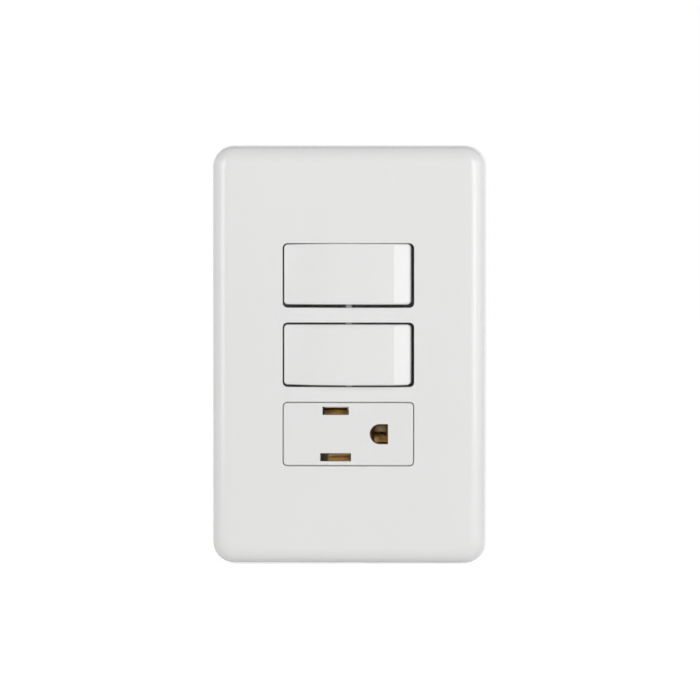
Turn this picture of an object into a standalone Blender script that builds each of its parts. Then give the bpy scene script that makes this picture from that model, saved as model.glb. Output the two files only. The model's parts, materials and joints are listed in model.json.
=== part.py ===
"""Switch and socket combination: two rocker switches and one earthed socket behind a screwless plate.

The plate faces -Y, +X is to its right as one looks at it, and +Z is up. The origin is the middle of the
plate on the wall, so what lies at y > 0 is inside the wall box. All lengths are in metres.
"""

import math

import bmesh
import bpy
from mathutils import Matrix, Vector

# Fit between two pieces that touch
FIT = 0.0003

# Cover plate
PLATE_WIDTH = 0.0750
PLATE_HEIGHT = 0.1145
PLATE_CORNER = 0.0059
PLATE_DEPTH = 0.0085
PLATE_WALL = 0.0016
PLATE_EDGE_WIDTH = 0.0052
PLATE_EDGE_DEPTH = 0.0034
PLATE_DRAFT = 0.0003
PLATE_RIB = 0.0012
PRY_NOTCH_WIDTH = 0.0080
PRY_NOTCH_DEPTH = 0.0010
HOOK_WIDTH = 0.0070
HOOK_THICKNESS = 0.0013
HOOK_LAP = 0.0009
HOOK_SPREAD = 0.0300

# Windows and the modules behind them
WINDOW_LENGTH = 0.0360
WINDOW_HEIGHT = 0.0176
WINDOW_CORNER = 0.0013
WINDOW_BRIDGE = 0.0041
BODY_END_WALL = 0.0024
BODY_CORNER = 0.0008
SIDE_PLAY = 0.0005
FLANGE_LAP = 0.0008
BARB_LAP = 0.0007
BARB_WIDTH = 0.0080
COVER_BACK = 0.0030
BASE_FLOOR = 0.0057

# Half lengths of the modules, from the window outwards
MODULE_PITCH = WINDOW_HEIGHT + WINDOW_BRIDGE
BODY_LENGTH = WINDOW_LENGTH + 2 * BODY_END_WALL
MODULE_HALF_HEIGHT = (MODULE_PITCH - FIT) / 2
BODY_HALF = BODY_LENGTH / 2
STRAP_WINDOW_HALF = BODY_HALF + SIDE_PLAY
STRAP_WINDOW_TOP = 1.5 * MODULE_PITCH + FIT
FLANGE_HALF = STRAP_WINDOW_HALF + FLANGE_LAP
BARB_HALF = STRAP_WINDOW_HALF + BARB_LAP
END_ROOM = PLATE_HEIGHT / 2 - STRAP_WINDOW_TOP

# Carrier that the cover plate snaps on
CARRIER_SIDE_INSET = 0.0043
CARRIER_END_INSET = 0.00475
CARRIER_WIDTH = PLATE_WIDTH - 2 * CARRIER_SIDE_INSET
CARRIER_HEIGHT = PLATE_HEIGHT - 2 * CARRIER_END_INSET
CARRIER_CORNER = 0.0045
CARRIER_THICKNESS = 0.0024
CARRIER_SCREW_X = 0.0130
CARRIER_SCREW_SHARE = 0.17
CARRIER_SCREW_Z = STRAP_WINDOW_TOP + CARRIER_SCREW_SHARE * END_ROOM
CARRIER_SCREW_RADIUS = 0.0015
CARRIER_SCREW_LENGTH = 0.0080
CARRIER_HEAD_RADIUS = 0.0028
CARRIER_HEAD_HEIGHT = 0.0017

# Steel mounting frame
STRAP_RAIL_SHARE = 0.492
STRAP_END_INSET = 0.00425
STRAP_WIDTH = 2 * (STRAP_WINDOW_HALF + STRAP_RAIL_SHARE * (CARRIER_WIDTH / 2 - STRAP_WINDOW_HALF))
STRAP_HEIGHT = PLATE_HEIGHT - 2 * STRAP_END_INSET
STRAP_THICKNESS = 0.0012
STRAP_CORNER = 0.0040
STRAP_HOLE_RADIUS = 0.0016
STRAP_HOLE_INSET = 0.0052
STRAP_SLOT_HALF_LENGTH = 0.0060
STRAP_SLOT_HALF_HEIGHT = 0.0011
STRAP_SLOT_INSET = 0.0042
BOX_SCREW_SHARE = 0.3607
BOX_SCREW_SPACING = 2 * (STRAP_WINDOW_TOP + BOX_SCREW_SHARE * END_ROOM)
BOX_SLOT_WIDTH = 0.0070
BOX_SCREW_RADIUS = 0.00175
BOX_SCREW_LENGTH = 0.0200
BOX_HEAD_RADIUS = 0.0034
BOX_HEAD_HEIGHT = 0.0022

# Rocker
ROCKER_AXIS_DEPTH = 0.0041
ROCKER_TILT = math.radians(4.0)
ROCKER_CREST = 0.0025
ROCKER_END_GAP = 0.0007
ROCKER_SIDE_GAP = 0.0005
ROCKER_HALF = WINDOW_LENGTH / 2 - ROCKER_END_GAP
ROCKER_STRAIGHT_RUN = 0.0045
ROCKER_CURVED_RUN = ROCKER_HALF - ROCKER_STRAIGHT_RUN
ROCKER_CURVE = math.radians(12.0)
ROCKER_FACET_RUN = 0.0047
ROCKER_CREASE = ROCKER_HALF - ROCKER_FACET_RUN
ROCKER_FACET = math.radians(17.0)
ROCKER_SKIRT = 0.0015
ROCKER_WALL = 0.0015
ROCKER_EDGE = 0.0005
ROCKER_RIB = 0.0010
ROCKER_RIB_SPREAD = 0.0095
TRUNNION_RADIUS = 0.0010
TRUNNION_LENGTH = 0.0015
STEM_RADIUS = 0.0026
STEM_REACH = 0.0112
BORE_DEPTH = 0.0080

# Sprung plunger in the rocker's stem
PLUNGER_RADIUS = 0.0014
PLUNGER_STAND = 0.0028
PLUNGER_REACH = STEM_REACH + PLUNGER_STAND
PLUNGER_LENGTH = 0.0066
SPRING_RADIUS = 0.00105
SPRING_WIRE = 0.0002
SPRING_TURNS = 5
SPRING_POINTS = 10

# See-saw contact lever
LEVER_TILT = math.radians(7.0)
LEVER_DIHEDRAL = math.radians(10.0)
LEVER_LENGTH = 0.0150
LEVER_WIDTH = 0.0076
LEVER_THICKNESS = 0.0008
LEVER_RIDGE = 0.0006
LEVER_RIDGE_DROP = 0.0002
BUTTON_RADIUS = 0.0015
BUTTON_HEIGHT = 0.0007
BUTTON_INSET = 0.0015
BUTTON_X = LEVER_LENGTH / 2 - BUTTON_INSET

# Terminals
STRIP = 0.0010
LEG_WIDTH = 0.0052
FORK_HEIGHT = 0.0033
CHEEK = 0.0008
CHEEK_LENGTH = 0.0044
TERMINAL_WIDTH = 0.0092
TERMINAL_ROOM = 0.0017
TERMINAL_SHIFT = 0.0013
POCKET_DEPTH = 0.0057
POCKET_WALL = 0.0009
POCKET_WIDTH = 0.0130
WIRE_SCREW_RADIUS = 0.0016
WIRE_SCREW_LENGTH = 0.0044
WIRE_HEAD_RADIUS = 0.0029
WIRE_HEAD_HEIGHT = 0.0018
WIRE_CHANNEL_DEPTH = 0.0026
WIRE_CHANNEL_WIDTH = 0.0036

# Rear housings
CHAMBER_END_ROOM = 0.0030
CHAMBER_SIDE_ROOM = 0.0027
CHAMBER_LENGTH = LEVER_LENGTH + 2 * CHAMBER_END_ROOM
CHAMBER_WIDTH = LEVER_WIDTH + 2 * CHAMBER_SIDE_ROOM
TONGUE_WIDTH = 0.0050
TONGUE_THICKNESS = 0.0012
TONGUE_REACH = 0.0060
TONGUE_SETBACK = 0.0005
TONGUE_X = BODY_HALF - POCKET_DEPTH - TONGUE_SETBACK - FIT - TONGUE_WIDTH / 2
LATCH_WIDTH = 0.0030
LATCH_HEIGHT = 0.0020
LATCH_LAP = 0.0007
RELIEF_DEPTH = 0.0025
RELIEF_LENGTH = 0.0075
RELIEF_WIDTH = 0.0120
RELIEF_RIB = 0.0020

# Socket
FACE_GAP = 0.00025
FACE_WALL = 0.0034
FACE_CAVITY_WALL = 0.0016
BLADE_X = -0.0035
SLOT_INSET = 0.00245
BLADE_SPACING = WINDOW_HEIGHT - 2 * SLOT_INSET
SLOT_HEIGHT = 0.0022
LIVE_SLOT = 0.0072
NEUTRAL_SLOT = 0.00845
EARTH_X = 0.0086
EARTH_RADIUS = 0.00275
EARTH_FLAT = 0.00225
LEAF = 0.0006
LEAF_THROAT = 0.0005
LEAF_HALF_SPREAD = 0.0021
LEAF_FLARE = 0.0013
CONTACT_WIDTH = 0.0068
LIVE_CONTACT_SHIFT = 0.0003
NEUTRAL_CONTACT_SHIFT = 0.0012
EARTH_LEAF_WIDTH = 0.0046
EARTH_THROAT = 0.0046
EARTH_LEAF_HALF_SPREAD = 0.0029
CONTACT_FLOOR = 0.0033
WELL_WALL = 0.0007
CONTACT_LEG_WIDTH = 0.0032
SOCKET_TERMINAL_ROOM = 0.0041
SOCKET_TERMINAL_Z = (MODULE_HALF_HEIGHT - FIT) / 2
SOCKET_TERMINAL_WIDTH = MODULE_HALF_HEIGHT - SOCKET_TERMINAL_ROOM

# Levels along Y that the sizes above give
FACE_Y = -PLATE_DEPTH
PLATE_BACK_Y = FACE_Y + PLATE_WALL
COLLAR_Y = PLATE_BACK_Y + FIT
STRAP_FRONT_Y = -STRAP_THICKNESS
CARRIER_BACK_Y = STRAP_FRONT_Y - FIT
CARRIER_FRONT_Y = CARRIER_BACK_Y - CARRIER_THICKNESS
BASE_FRONT_Y = COVER_BACK + FIT
PIVOT_Y = FACE_Y + ROCKER_AXIS_DEPTH
LEVER_FRONT_Y = PIVOT_Y + PLUNGER_REACH + FIT
LEVER_AXIS_Y = LEVER_FRONT_Y + LEVER_THICKNESS + LEVER_RIDGE_DROP
COMMON_Y = LEVER_AXIS_Y + FORK_HEIGHT
CHAMBER_FLOOR_Y = COMMON_Y + STRIP + FIT
BASE_BACK = CHAMBER_FLOOR_Y + BASE_FLOOR
TERMINAL_FRONT_Y = BASE_FRONT_Y + POCKET_WALL + TERMINAL_ROOM
TERMINAL_Y = (TERMINAL_FRONT_Y + CHAMBER_FLOOR_Y) / 2 - TERMINAL_SHIFT
CONTACT_BACK = CHAMBER_FLOOR_Y - CONTACT_FLOOR

# Cutters run past the faces that they cut by this much
CAVITY_OVERRUN = 0.0010
SCREW_SIDES = 16
SLOT_DEPTH_SHARE = 0.5

# Placing of an outline's plane: its first two axes, then the axis it is extruded along
PLANES = {
    "X": Matrix(((0, 0, 1, 0), (1, 0, 0, 0), (0, 1, 0, 0), (0, 0, 0, 1))),
    "Y": Matrix(((1, 0, 0, 0), (0, 0, -1, 0), (0, 1, 0, 0), (0, 0, 0, 1))),
    "Z": Matrix.Identity(4),
}
DIRECTIONS = {"X": Vector((1, 0, 0)), "Y": Vector((0, 1, 0)), "Z": Vector((0, 0, 1))}
# Outlines are drawn this much larger and scaled back, because a curve's fill merges close points
DRAWING_SCALE = 1000.0
# Faces of an outline's flat ends that meet at less than this are one face
FLAT_ANGLE = math.radians(0.1)

COLOURS = {
    "plate_white": ((0.86, 0.86, 0.85), 0.22, 0.0),
    "rocker_white": ((0.87, 0.87, 0.86), 0.25, 0.0),
    "module_white": ((0.84, 0.84, 0.83), 0.30, 0.0),
    "base_grey": ((0.55, 0.56, 0.57), 0.55, 0.0),
    "carrier_white": ((0.80, 0.80, 0.79), 0.50, 0.0),
    "galvanised_steel": ((0.56, 0.57, 0.58), 0.38, 1.0),
    "screw_steel": ((0.62, 0.61, 0.58), 0.30, 1.0),
    "earth_green": ((0.10, 0.36, 0.16), 0.35, 0.6),
    "contact_brass": ((0.72, 0.55, 0.26), 0.28, 1.0),
    "spring_steel": ((0.60, 0.60, 0.62), 0.25, 1.0),
    "plunger_black": ((0.05, 0.05, 0.05), 0.45, 0.0),
}


def clear_scene():
    for old in list(bpy.data.objects):
        bpy.data.objects.remove(old, do_unlink=True)


def new_collection(name):
    collection = bpy.data.collections.new(name)
    bpy.context.scene.collection.children.link(collection)
    return collection


def get_material(name):
    found = bpy.data.materials.get(name)
    if found:
        return found
    colour, roughness, metallic = COLOURS[name]
    made = bpy.data.materials.new(name)
    made.use_nodes = True
    shader = made.node_tree.nodes["Principled BSDF"]
    shader.inputs["Base Color"].default_value = (*colour, 1.0)
    shader.inputs["Roughness"].default_value = roughness
    shader.inputs["Metallic"].default_value = metallic
    return made


def place(name, mesh, parent, material=None):
    """Make an object of a mesh: a piece if it has a material, else a tool that cuts or joins pieces."""
    made = bpy.data.objects.new(name, mesh)
    if material:
        mesh.materials.append(get_material(material))
        PIECES.objects.link(made)
    else:
        TOOLS.objects.link(made)
        made.hide_render = True
        made.display_type = "WIRE"
    made.parent = parent
    return made


def empty(name, location, parent=None, turn=0.0):
    made = bpy.data.objects.new(name, None)
    PIECES.objects.link(made)
    made.location = location
    made.rotation_euler.z = turn
    made.parent = parent
    return made


def boolean(target, tool, operation):
    step = target.modifiers.new(f"{operation.lower()} {tool.name}", "BOOLEAN")
    step.operation = operation
    step.solver = "EXACT"
    step.object = tool


def cut(target, *tools):
    for tool in tools:
        boolean(target, tool, "DIFFERENCE")


def join(target, *tools):
    for tool in tools:
        boolean(target, tool, "UNION")


def bevel(target, width, segments=2, angle=math.radians(40)):
    step = target.modifiers.new("rounded edges", "BEVEL")
    step.width = width
    step.segments = segments
    step.limit_method = "ANGLE"
    step.angle_limit = angle


def finish_mesh(name, bm, smooth):
    bmesh.ops.recalc_face_normals(bm, faces=bm.faces)
    mesh = bpy.data.meshes.new(name)
    bm.to_mesh(mesh)
    bm.free()
    if smooth:
        mesh.shade_smooth()
        mesh.set_sharp_from_angle(angle=math.radians(35))
    return mesh


def box(name, x, y, z, parent, material=None):
    """A box between the low and high ends given for each axis."""
    size = [high - low for low, high in (x, y, z)]
    middle = [(high + low) / 2 for low, high in (x, y, z)]
    bm = bmesh.new()
    bmesh.ops.create_cube(bm, size=1.0, matrix=Matrix.Translation(middle) @ Matrix.Diagonal((*size, 1.0)))
    return place(name, finish_mesh(name, bm, False), parent, material)


def rod(name, radius, axis, start, end, centre, parent, sides=20, material=None):
    """A cylinder along X, Y or Z; centre gives the two other coordinates in their order."""
    bm = bmesh.new()
    bmesh.ops.create_cone(
        bm, cap_ends=True, segments=sides, radius1=radius, radius2=radius, depth=end - start
    )
    middle = PLANES[axis] @ Vector((*centre, 0.0))
    middle += DIRECTIONS[axis] * (start + end) / 2
    bmesh.ops.transform(bm, matrix=Matrix.Translation(middle) @ PLANES[axis], verts=bm.verts)
    return place(name, finish_mesh(name, bm, True), parent, material)


def prism(name, outline, axis, start, end, parent, material=None, smooth=False):
    """A flat outline extruded along X, Y or Z between two levels."""
    curve = bpy.data.curves.new(name, "CURVE")
    curve.dimensions = "2D"
    curve.fill_mode = "BOTH"
    curve.extrude = (end - start) / 2 * DRAWING_SCALE
    spline = curve.splines.new("POLY")
    spline.points.add(len(outline) - 1)
    for point, (across, up) in zip(spline.points, outline):
        point.co = (across * DRAWING_SCALE, up * DRAWING_SCALE, 0.0, 1.0)
    spline.use_cyclic_u = True
    drawn = bpy.data.objects.new(name, curve)
    bpy.context.scene.collection.objects.link(drawn)
    solid = bpy.data.meshes.new_from_object(drawn.evaluated_get(bpy.context.evaluated_depsgraph_get()))
    bpy.data.objects.remove(drawn, do_unlink=True)
    bm = bmesh.new()
    bm.from_mesh(solid)
    bpy.data.meshes.remove(solid)
    bmesh.ops.remove_doubles(bm, verts=bm.verts, dist=0.001)
    bmesh.ops.dissolve_limit(bm, angle_limit=FLAT_ANGLE, verts=bm.verts, edges=bm.edges)
    middle = DIRECTIONS[axis] * (start + end) / 2
    matrix = Matrix.Translation(middle) @ PLANES[axis] @ Matrix.Scale(1 / DRAWING_SCALE, 4)
    bmesh.ops.transform(bm, matrix=matrix, verts=bm.verts)
    return place(name, finish_mesh(name, bm, smooth), parent, material)


def turned(name, profile, location, rotation, parent, material, sides=SCREW_SIDES):
    """A profile of (radius, height) pairs, from its top on the axis to its bottom, turned round local Z."""
    bm = bmesh.new()
    rim = [bm.verts.new((radius, 0.0, height)) for radius, height in profile]
    for first, second in zip(rim, rim[1:]):
        bm.edges.new((first, second))
    mesh = bpy.data.meshes.new(name)
    bm.to_mesh(mesh)
    bm.free()
    made = place(name, mesh, parent, material)
    made.location = location
    made.rotation_euler = rotation
    step = made.modifiers.new("turned", "SCREW")
    step.steps = sides
    step.render_steps = sides
    step.use_merge_vertices = True
    step.merge_threshold = 0.00001
    return made


def corner_arc(centre, radius, start, sweep, segments):
    """Points of an arc; angles in radians, anticlockwise."""
    turns = [start + sweep * step / segments for step in range(segments + 1)]
    return [(centre[0] + radius * math.cos(a), centre[1] + radius * math.sin(a)) for a in turns]


def rounded_rectangle(width, height, radius, centre=(0.0, 0.0), segments=4):
    points = []
    for quarter, (sx, sy) in enumerate(((1, 1), (-1, 1), (-1, -1), (1, -1))):
        middle = (
            centre[0] + sx * (width / 2 - radius),
            centre[1] + sy * (height / 2 - radius),
        )
        points += corner_arc(middle, radius, quarter * math.pi / 2, math.pi / 2, segments)
    return points


def strip_outline(line, thickness):
    """Outline of a bent strip of even thickness whose middle follows the line, with mitred bends."""
    sides = ([], [])
    for index, point in enumerate(line):
        here = Vector(point)
        before = (here - Vector(line[index - 1])).normalized() if index else None
        after = (Vector(line[index + 1]) - here).normalized() if index + 1 < len(line) else None
        before = before or after
        after = after or before
        mitre = (before + after).normalized()
        reach = thickness / 2 / mitre.dot(before)
        across = Vector((-mitre.y, mitre.x)) * reach
        sides[0].append(tuple(here + across))
        sides[1].append(tuple(here - across))
    return sides[0] + sides[1][::-1]


def loft(name, rings, parent, material):
    """A closed skin through rings of equally many points, with a flat face over the first and last."""
    bm = bmesh.new()
    made = [[bm.verts.new(point) for point in ring] for ring in rings]
    count = len(made[0])
    for lower, upper in zip(made, made[1:]):
        for index in range(count):
            after = (index + 1) % count
            bm.faces.new((lower[index], lower[after], upper[after], upper[index]))
    bm.faces.new(made[0])
    bm.faces.new(made[-1])
    return place(name, finish_mesh(name, bm, True), parent, material)


def screw_profile(head_radius, head_height, shank_radius, length):
    """A pan head on a shank; height 0 is under the head."""
    crown = head_height * 0.35
    point = shank_radius * 0.5
    return [
        (0.0, head_height),
        (head_radius * 0.72, head_height),
        (head_radius * 0.93, head_height - crown * 0.4),
        (head_radius, head_height - crown * 1.4),
        (head_radius, 0.0),
        (shank_radius, 0.0),
        (shank_radius, -length + point),
        (shank_radius - point, -length),
        (0.0, -length),
    ]


def screw(name, location, rotation, head_radius, head_height, shank_radius, length, parent, material):
    profile = screw_profile(head_radius, head_height, shank_radius, length)
    made = turned(name, profile, location, rotation, parent, material)
    half_slot = head_radius * 0.14
    slot = box(
        f"{name} slot",
        (-2 * head_radius, 2 * head_radius),
        (-half_slot, half_slot),
        (head_height * (1 - SLOT_DEPTH_SHARE), 2 * head_height),
        made,
    )
    cut(made, slot)
    return made


def plate_section(depth):
    """Section of the plate's edge from the rim to the face, at a depth under its outer skin.

    Each point is an inset from the plate's outline and a level along Y.
    """
    curve_start = FACE_Y + PLATE_EDGE_DEPTH
    width = PLATE_EDGE_WIDTH - PLATE_DRAFT
    points = [(depth, 0.0)]
    for step in range(8):
        turn = math.pi / 2 * step / 7
        normal = Vector((PLATE_EDGE_DEPTH * math.cos(turn), width * math.sin(turn))).normalized()
        inset = PLATE_DRAFT + width * (1 - math.cos(turn))
        level = curve_start - PLATE_EDGE_DEPTH * math.sin(turn)
        points.append((inset + depth * normal.x, level + depth * normal.y))
    return points


def plate_ring(inset, level):
    radius = max(PLATE_CORNER - inset, FIT)
    outline = rounded_rectangle(PLATE_WIDTH - 2 * inset, PLATE_HEIGHT - 2 * inset, radius, segments=7)
    return [(across, level, up) for across, up in outline]


def window(name, module_z, front, back, parent, gap=0.0):
    outline = rounded_rectangle(
        WINDOW_LENGTH - 2 * gap, WINDOW_HEIGHT - 2 * gap, WINDOW_CORNER - gap, (0.0, module_z)
    )
    return prism(name, outline, "Y", front, back, parent)


def make_cover_plate(root):
    sections = plate_section(0.0)[::-1] + plate_section(PLATE_WALL)
    plate = loft("cover_plate", [plate_ring(*point) for point in sections], root, "plate_white")
    overlap = PLATE_BACK_Y - PLATE_WALL / 2
    rib_back = CARRIER_FRONT_Y - FIT
    for side in (-1, 1):
        rib_z = side * (BOX_SCREW_SPACING / 2 + BOX_HEAD_RADIUS + 2 * PLATE_RIB)
        join(
            plate,
            box(
                f"plate rib {side}",
                (-PLATE_WIDTH * 0.42, PLATE_WIDTH * 0.42),
                (overlap, rib_back),
                (rib_z - PLATE_RIB / 2, rib_z + PLATE_RIB / 2),
                root,
            ),
        )
        wall_x = side * (CARRIER_WIDTH / 2 + FIT + HOOK_THICKNESS / 2)
        for end in (-1, 1):
            hook_z = end * HOOK_SPREAD
            join(plate, plate_hook(f"plate hook {side} {end}", wall_x, side, hook_z, overlap, root))
    for name, module_z in MODULES:
        opening = window(
            f"{name} window", module_z, FACE_Y - CAVITY_OVERRUN, COLLAR_Y + CAVITY_OVERRUN, root
        )
        cut(plate, opening)
    pry_notch = box(
        "pry notch",
        (-PRY_NOTCH_WIDTH / 2, PRY_NOTCH_WIDTH / 2),
        (-PRY_NOTCH_DEPTH, CAVITY_OVERRUN),
        (-PLATE_HEIGHT / 2 - CAVITY_OVERRUN, -PLATE_HEIGHT / 2 + PLATE_WALL * 1.5),
        root,
    )
    cut(plate, pry_notch)
    return plate


def plate_hook(name, wall_x, side, hook_z, root_y, parent):
    """A snap arm beside the carrier, whose barb reaches in under the carrier's back."""
    inner = wall_x - side * HOOK_THICKNESS / 2
    outer = wall_x + side * HOOK_THICKNESS / 2
    tip = inner - side * (HOOK_LAP + FIT)
    catch = CARRIER_BACK_Y + FIT
    end = -FIT
    outline = [(outer, root_y), (inner, root_y), (inner, catch), (tip, catch), (inner, end), (outer, end)]
    return prism(name, outline, "Z", hook_z - HOOK_WIDTH / 2, hook_z + HOOK_WIDTH / 2, parent)


def make_carrier(root):
    outline = rounded_rectangle(CARRIER_WIDTH, CARRIER_HEIGHT, CARRIER_CORNER)
    carrier = prism(
        "plate_carrier", outline, "Y", CARRIER_FRONT_Y, CARRIER_BACK_Y, root, "carrier_white"
    )
    front = CARRIER_FRONT_Y - CAVITY_OVERRUN
    back = CARRIER_BACK_Y + CAVITY_OVERRUN
    opening = rounded_rectangle(
        2 * (FLANGE_HALF + FIT), 2 * (STRAP_WINDOW_TOP + FIT), BODY_CORNER
    )
    cut(carrier, prism("carrier window", opening, "Y", front, back, root))
    for side in (-1, 1):
        head_hole = rod(
            f"box screw hole {side}",
            BOX_HEAD_RADIUS + 2 * FIT,
            "Y",
            front,
            back,
            (0.0, side * BOX_SCREW_SPACING / 2),
            root,
        )
        screw_hole = rod(
            f"carrier screw hole {side}",
            CARRIER_SCREW_RADIUS + FIT,
            "Y",
            front,
            back,
            (-side * CARRIER_SCREW_X, side * CARRIER_SCREW_Z),
            root,
            sides=16,
        )
        cut(carrier, head_hole, screw_hole)
    return carrier


def make_mounting_frame(root):
    outline = rounded_rectangle(STRAP_WIDTH, STRAP_HEIGHT, STRAP_CORNER)
    strap = prism("mounting_frame", outline, "Y", STRAP_FRONT_Y, 0.0, root, "galvanised_steel")
    front = STRAP_FRONT_Y - CAVITY_OVERRUN
    opening = rounded_rectangle(2 * STRAP_WINDOW_HALF, 2 * STRAP_WINDOW_TOP, BODY_CORNER)
    cut(strap, prism("frame window", opening, "Y", front, CAVITY_OVERRUN, root))
    slot_height = 2 * (BOX_SCREW_RADIUS + FIT)
    for side in (-1, 1):
        centre = (0.0, side * BOX_SCREW_SPACING / 2)
        slot = rounded_rectangle(BOX_SLOT_WIDTH, slot_height, slot_height / 2 - FIT / 10, centre)
        screw_hole = rod(
            f"frame screw hole {side}",
            CARRIER_SCREW_RADIUS + FIT,
            "Y",
            front,
            CAVITY_OVERRUN,
            (-side * CARRIER_SCREW_X, side * CARRIER_SCREW_Z),
            root,
            sides=16,
        )
        cut(strap, prism(f"box slot {side}", slot, "Y", front, CAVITY_OVERRUN, root), screw_hole)
        end_z = side * (STRAP_HEIGHT / 2 - STRAP_SLOT_INSET)
        end_slot = rounded_rectangle(
            2 * STRAP_SLOT_HALF_LENGTH,
            2 * STRAP_SLOT_HALF_HEIGHT,
            STRAP_SLOT_HALF_HEIGHT - FIT / 10,
            (0.0, end_z),
        )
        cut(strap, prism(f"end slot {side}", end_slot, "Y", front, CAVITY_OVERRUN, root))
        corner_z = side * (STRAP_HEIGHT / 2 - STRAP_HOLE_INSET)
        for edge in (-1, 1):
            corner = (edge * (STRAP_WIDTH / 2 - STRAP_HOLE_INSET), corner_z)
            name = f"corner hole {side} {edge}"
            cut(strap, rod(name, STRAP_HOLE_RADIUS, "Y", front, CAVITY_OVERRUN, corner, root, sides=16))
    return strap


FACING_FRONT = (math.pi / 2, 0.0, 0.0)
FACING_RIGHT = (0.0, math.pi / 2, 0.0)
FACING_LEFT = (0.0, -math.pi / 2, 0.0)


def make_plate_screws(root):
    for side, end in ((1, "upper"), (-1, "lower")):
        screw(
            f"box_screw_{end}",
            (0.0, STRAP_FRONT_Y - FIT, side * BOX_SCREW_SPACING / 2),
            FACING_FRONT,
            BOX_HEAD_RADIUS,
            BOX_HEAD_HEIGHT,
            BOX_SCREW_RADIUS,
            BOX_SCREW_LENGTH,
            root,
            "screw_steel",
        )
        screw(
            f"carrier_screw_{end}",
            (-side * CARRIER_SCREW_X, CARRIER_FRONT_Y - FIT, side * CARRIER_SCREW_Z),
            FACING_FRONT,
            CARRIER_HEAD_RADIUS,
            CARRIER_HEAD_HEIGHT,
            CARRIER_SCREW_RADIUS,
            CARRIER_SCREW_LENGTH,
            root,
            "screw_steel",
        )


def module_front(name, parent, material):
    """The front moulding that every module has: a flange before the steel frame and a body through it."""
    height = 2 * MODULE_HALF_HEIGHT
    flange = rounded_rectangle(2 * FLANGE_HALF, height, BODY_CORNER)
    body = rounded_rectangle(BODY_LENGTH, height, BODY_CORNER)
    front = prism(name, flange, "Y", COLLAR_Y, CARRIER_BACK_Y, parent, material)
    join(front, prism(f"{name} body", body, "Y", CARRIER_BACK_Y - FIT, COVER_BACK, parent))
    root_x = BODY_HALF - FIT
    for side in (-1, 1):
        outline = [(side * root_x, FIT), (side * BARB_HALF, FIT), (side * root_x, COVER_BACK - FIT)]
        barb = prism(f"{name} barb {side}", outline, "Z", -BARB_WIDTH / 2, BARB_WIDTH / 2, parent)
        join(front, barb)
    return front


def make_tongues(front, parent):
    """Four tongues that reach back over the rear housing and latch on it."""
    for side_x in (-1, 1):
        for side_z in (-1, 1):
            label = f"{front.name} tongue {side_x} {side_z}"
            middle_x = side_x * TONGUE_X
            z_ends = sorted((side_z * MODULE_HALF_HEIGHT, side_z * (MODULE_HALF_HEIGHT - TONGUE_THICKNESS)))
            tongue = box(
                label,
                (middle_x - TONGUE_WIDTH / 2, middle_x + TONGUE_WIDTH / 2),
                (COVER_BACK - FIT, COVER_BACK + TONGUE_REACH),
                z_ends,
                parent,
            )
            middle_y = COVER_BACK + TONGUE_REACH * 0.6
            hole = box(
                f"{label} hole",
                (middle_x - LATCH_WIDTH / 2 - FIT, middle_x + LATCH_WIDTH / 2 + FIT),
                (middle_y - LATCH_HEIGHT / 2 - FIT, middle_y + LATCH_HEIGHT / 2 + FIT),
                (z_ends[0] - FIT, z_ends[1] + FIT),
                parent,
            )
            join(front, tongue)
            cut(front, hole)


def module_base(name, parent, material):
    """The rear housing that every module has, with recesses and catches for the front's tongues."""
    outline = rounded_rectangle(BODY_LENGTH, 2 * MODULE_HALF_HEIGHT, BODY_CORNER)
    base = prism(name, outline, "Y", BASE_FRONT_Y, BASE_BACK, parent, material)
    bevel(base, BODY_CORNER / 2, segments=1, angle=math.radians(60))
    floor_z = MODULE_HALF_HEIGHT - TONGUE_THICKNESS - FIT
    for side_x in (-1, 1):
        for side_z in (-1, 1):
            label = f"{name} recess {side_x} {side_z}"
            middle_x = side_x * TONGUE_X
            half = TONGUE_WIDTH / 2 + FIT
            recess = box(
                label,
                (middle_x - half, middle_x + half),
                (BASE_FRONT_Y - CAVITY_OVERRUN, COVER_BACK + TONGUE_REACH + FIT),
                sorted((side_z * floor_z, side_z * (MODULE_HALF_HEIGHT + CAVITY_OVERRUN))),
                parent,
            )
            middle_y = COVER_BACK + TONGUE_REACH * 0.6
            catch = prism(
                f"{label} catch",
                [
                    (middle_y - LATCH_HEIGHT / 2, side_z * (floor_z - FIT)),
                    (middle_y + LATCH_HEIGHT / 2, side_z * (floor_z - FIT)),
                    (middle_y + LATCH_HEIGHT / 2, side_z * (floor_z + FIT + LATCH_LAP)),
                    (middle_y - LATCH_HEIGHT / 2, side_z * (floor_z + FIT)),
                ],
                "X",
                middle_x - LATCH_WIDTH / 2,
                middle_x + LATCH_WIDTH / 2,
                parent,
            )
            cut(base, recess)
            join(base, catch)
    for side in (-1, 1):
        relief = box(
            f"{name} relief {side}",
            sorted((side * RELIEF_RIB / 2, side * (RELIEF_RIB / 2 + RELIEF_LENGTH))),
            (BASE_BACK - RELIEF_DEPTH, BASE_BACK + CAVITY_OVERRUN),
            (-RELIEF_WIDTH / 2, RELIEF_WIDTH / 2),
            parent,
        )
        cut(base, relief)
    return base


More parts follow.
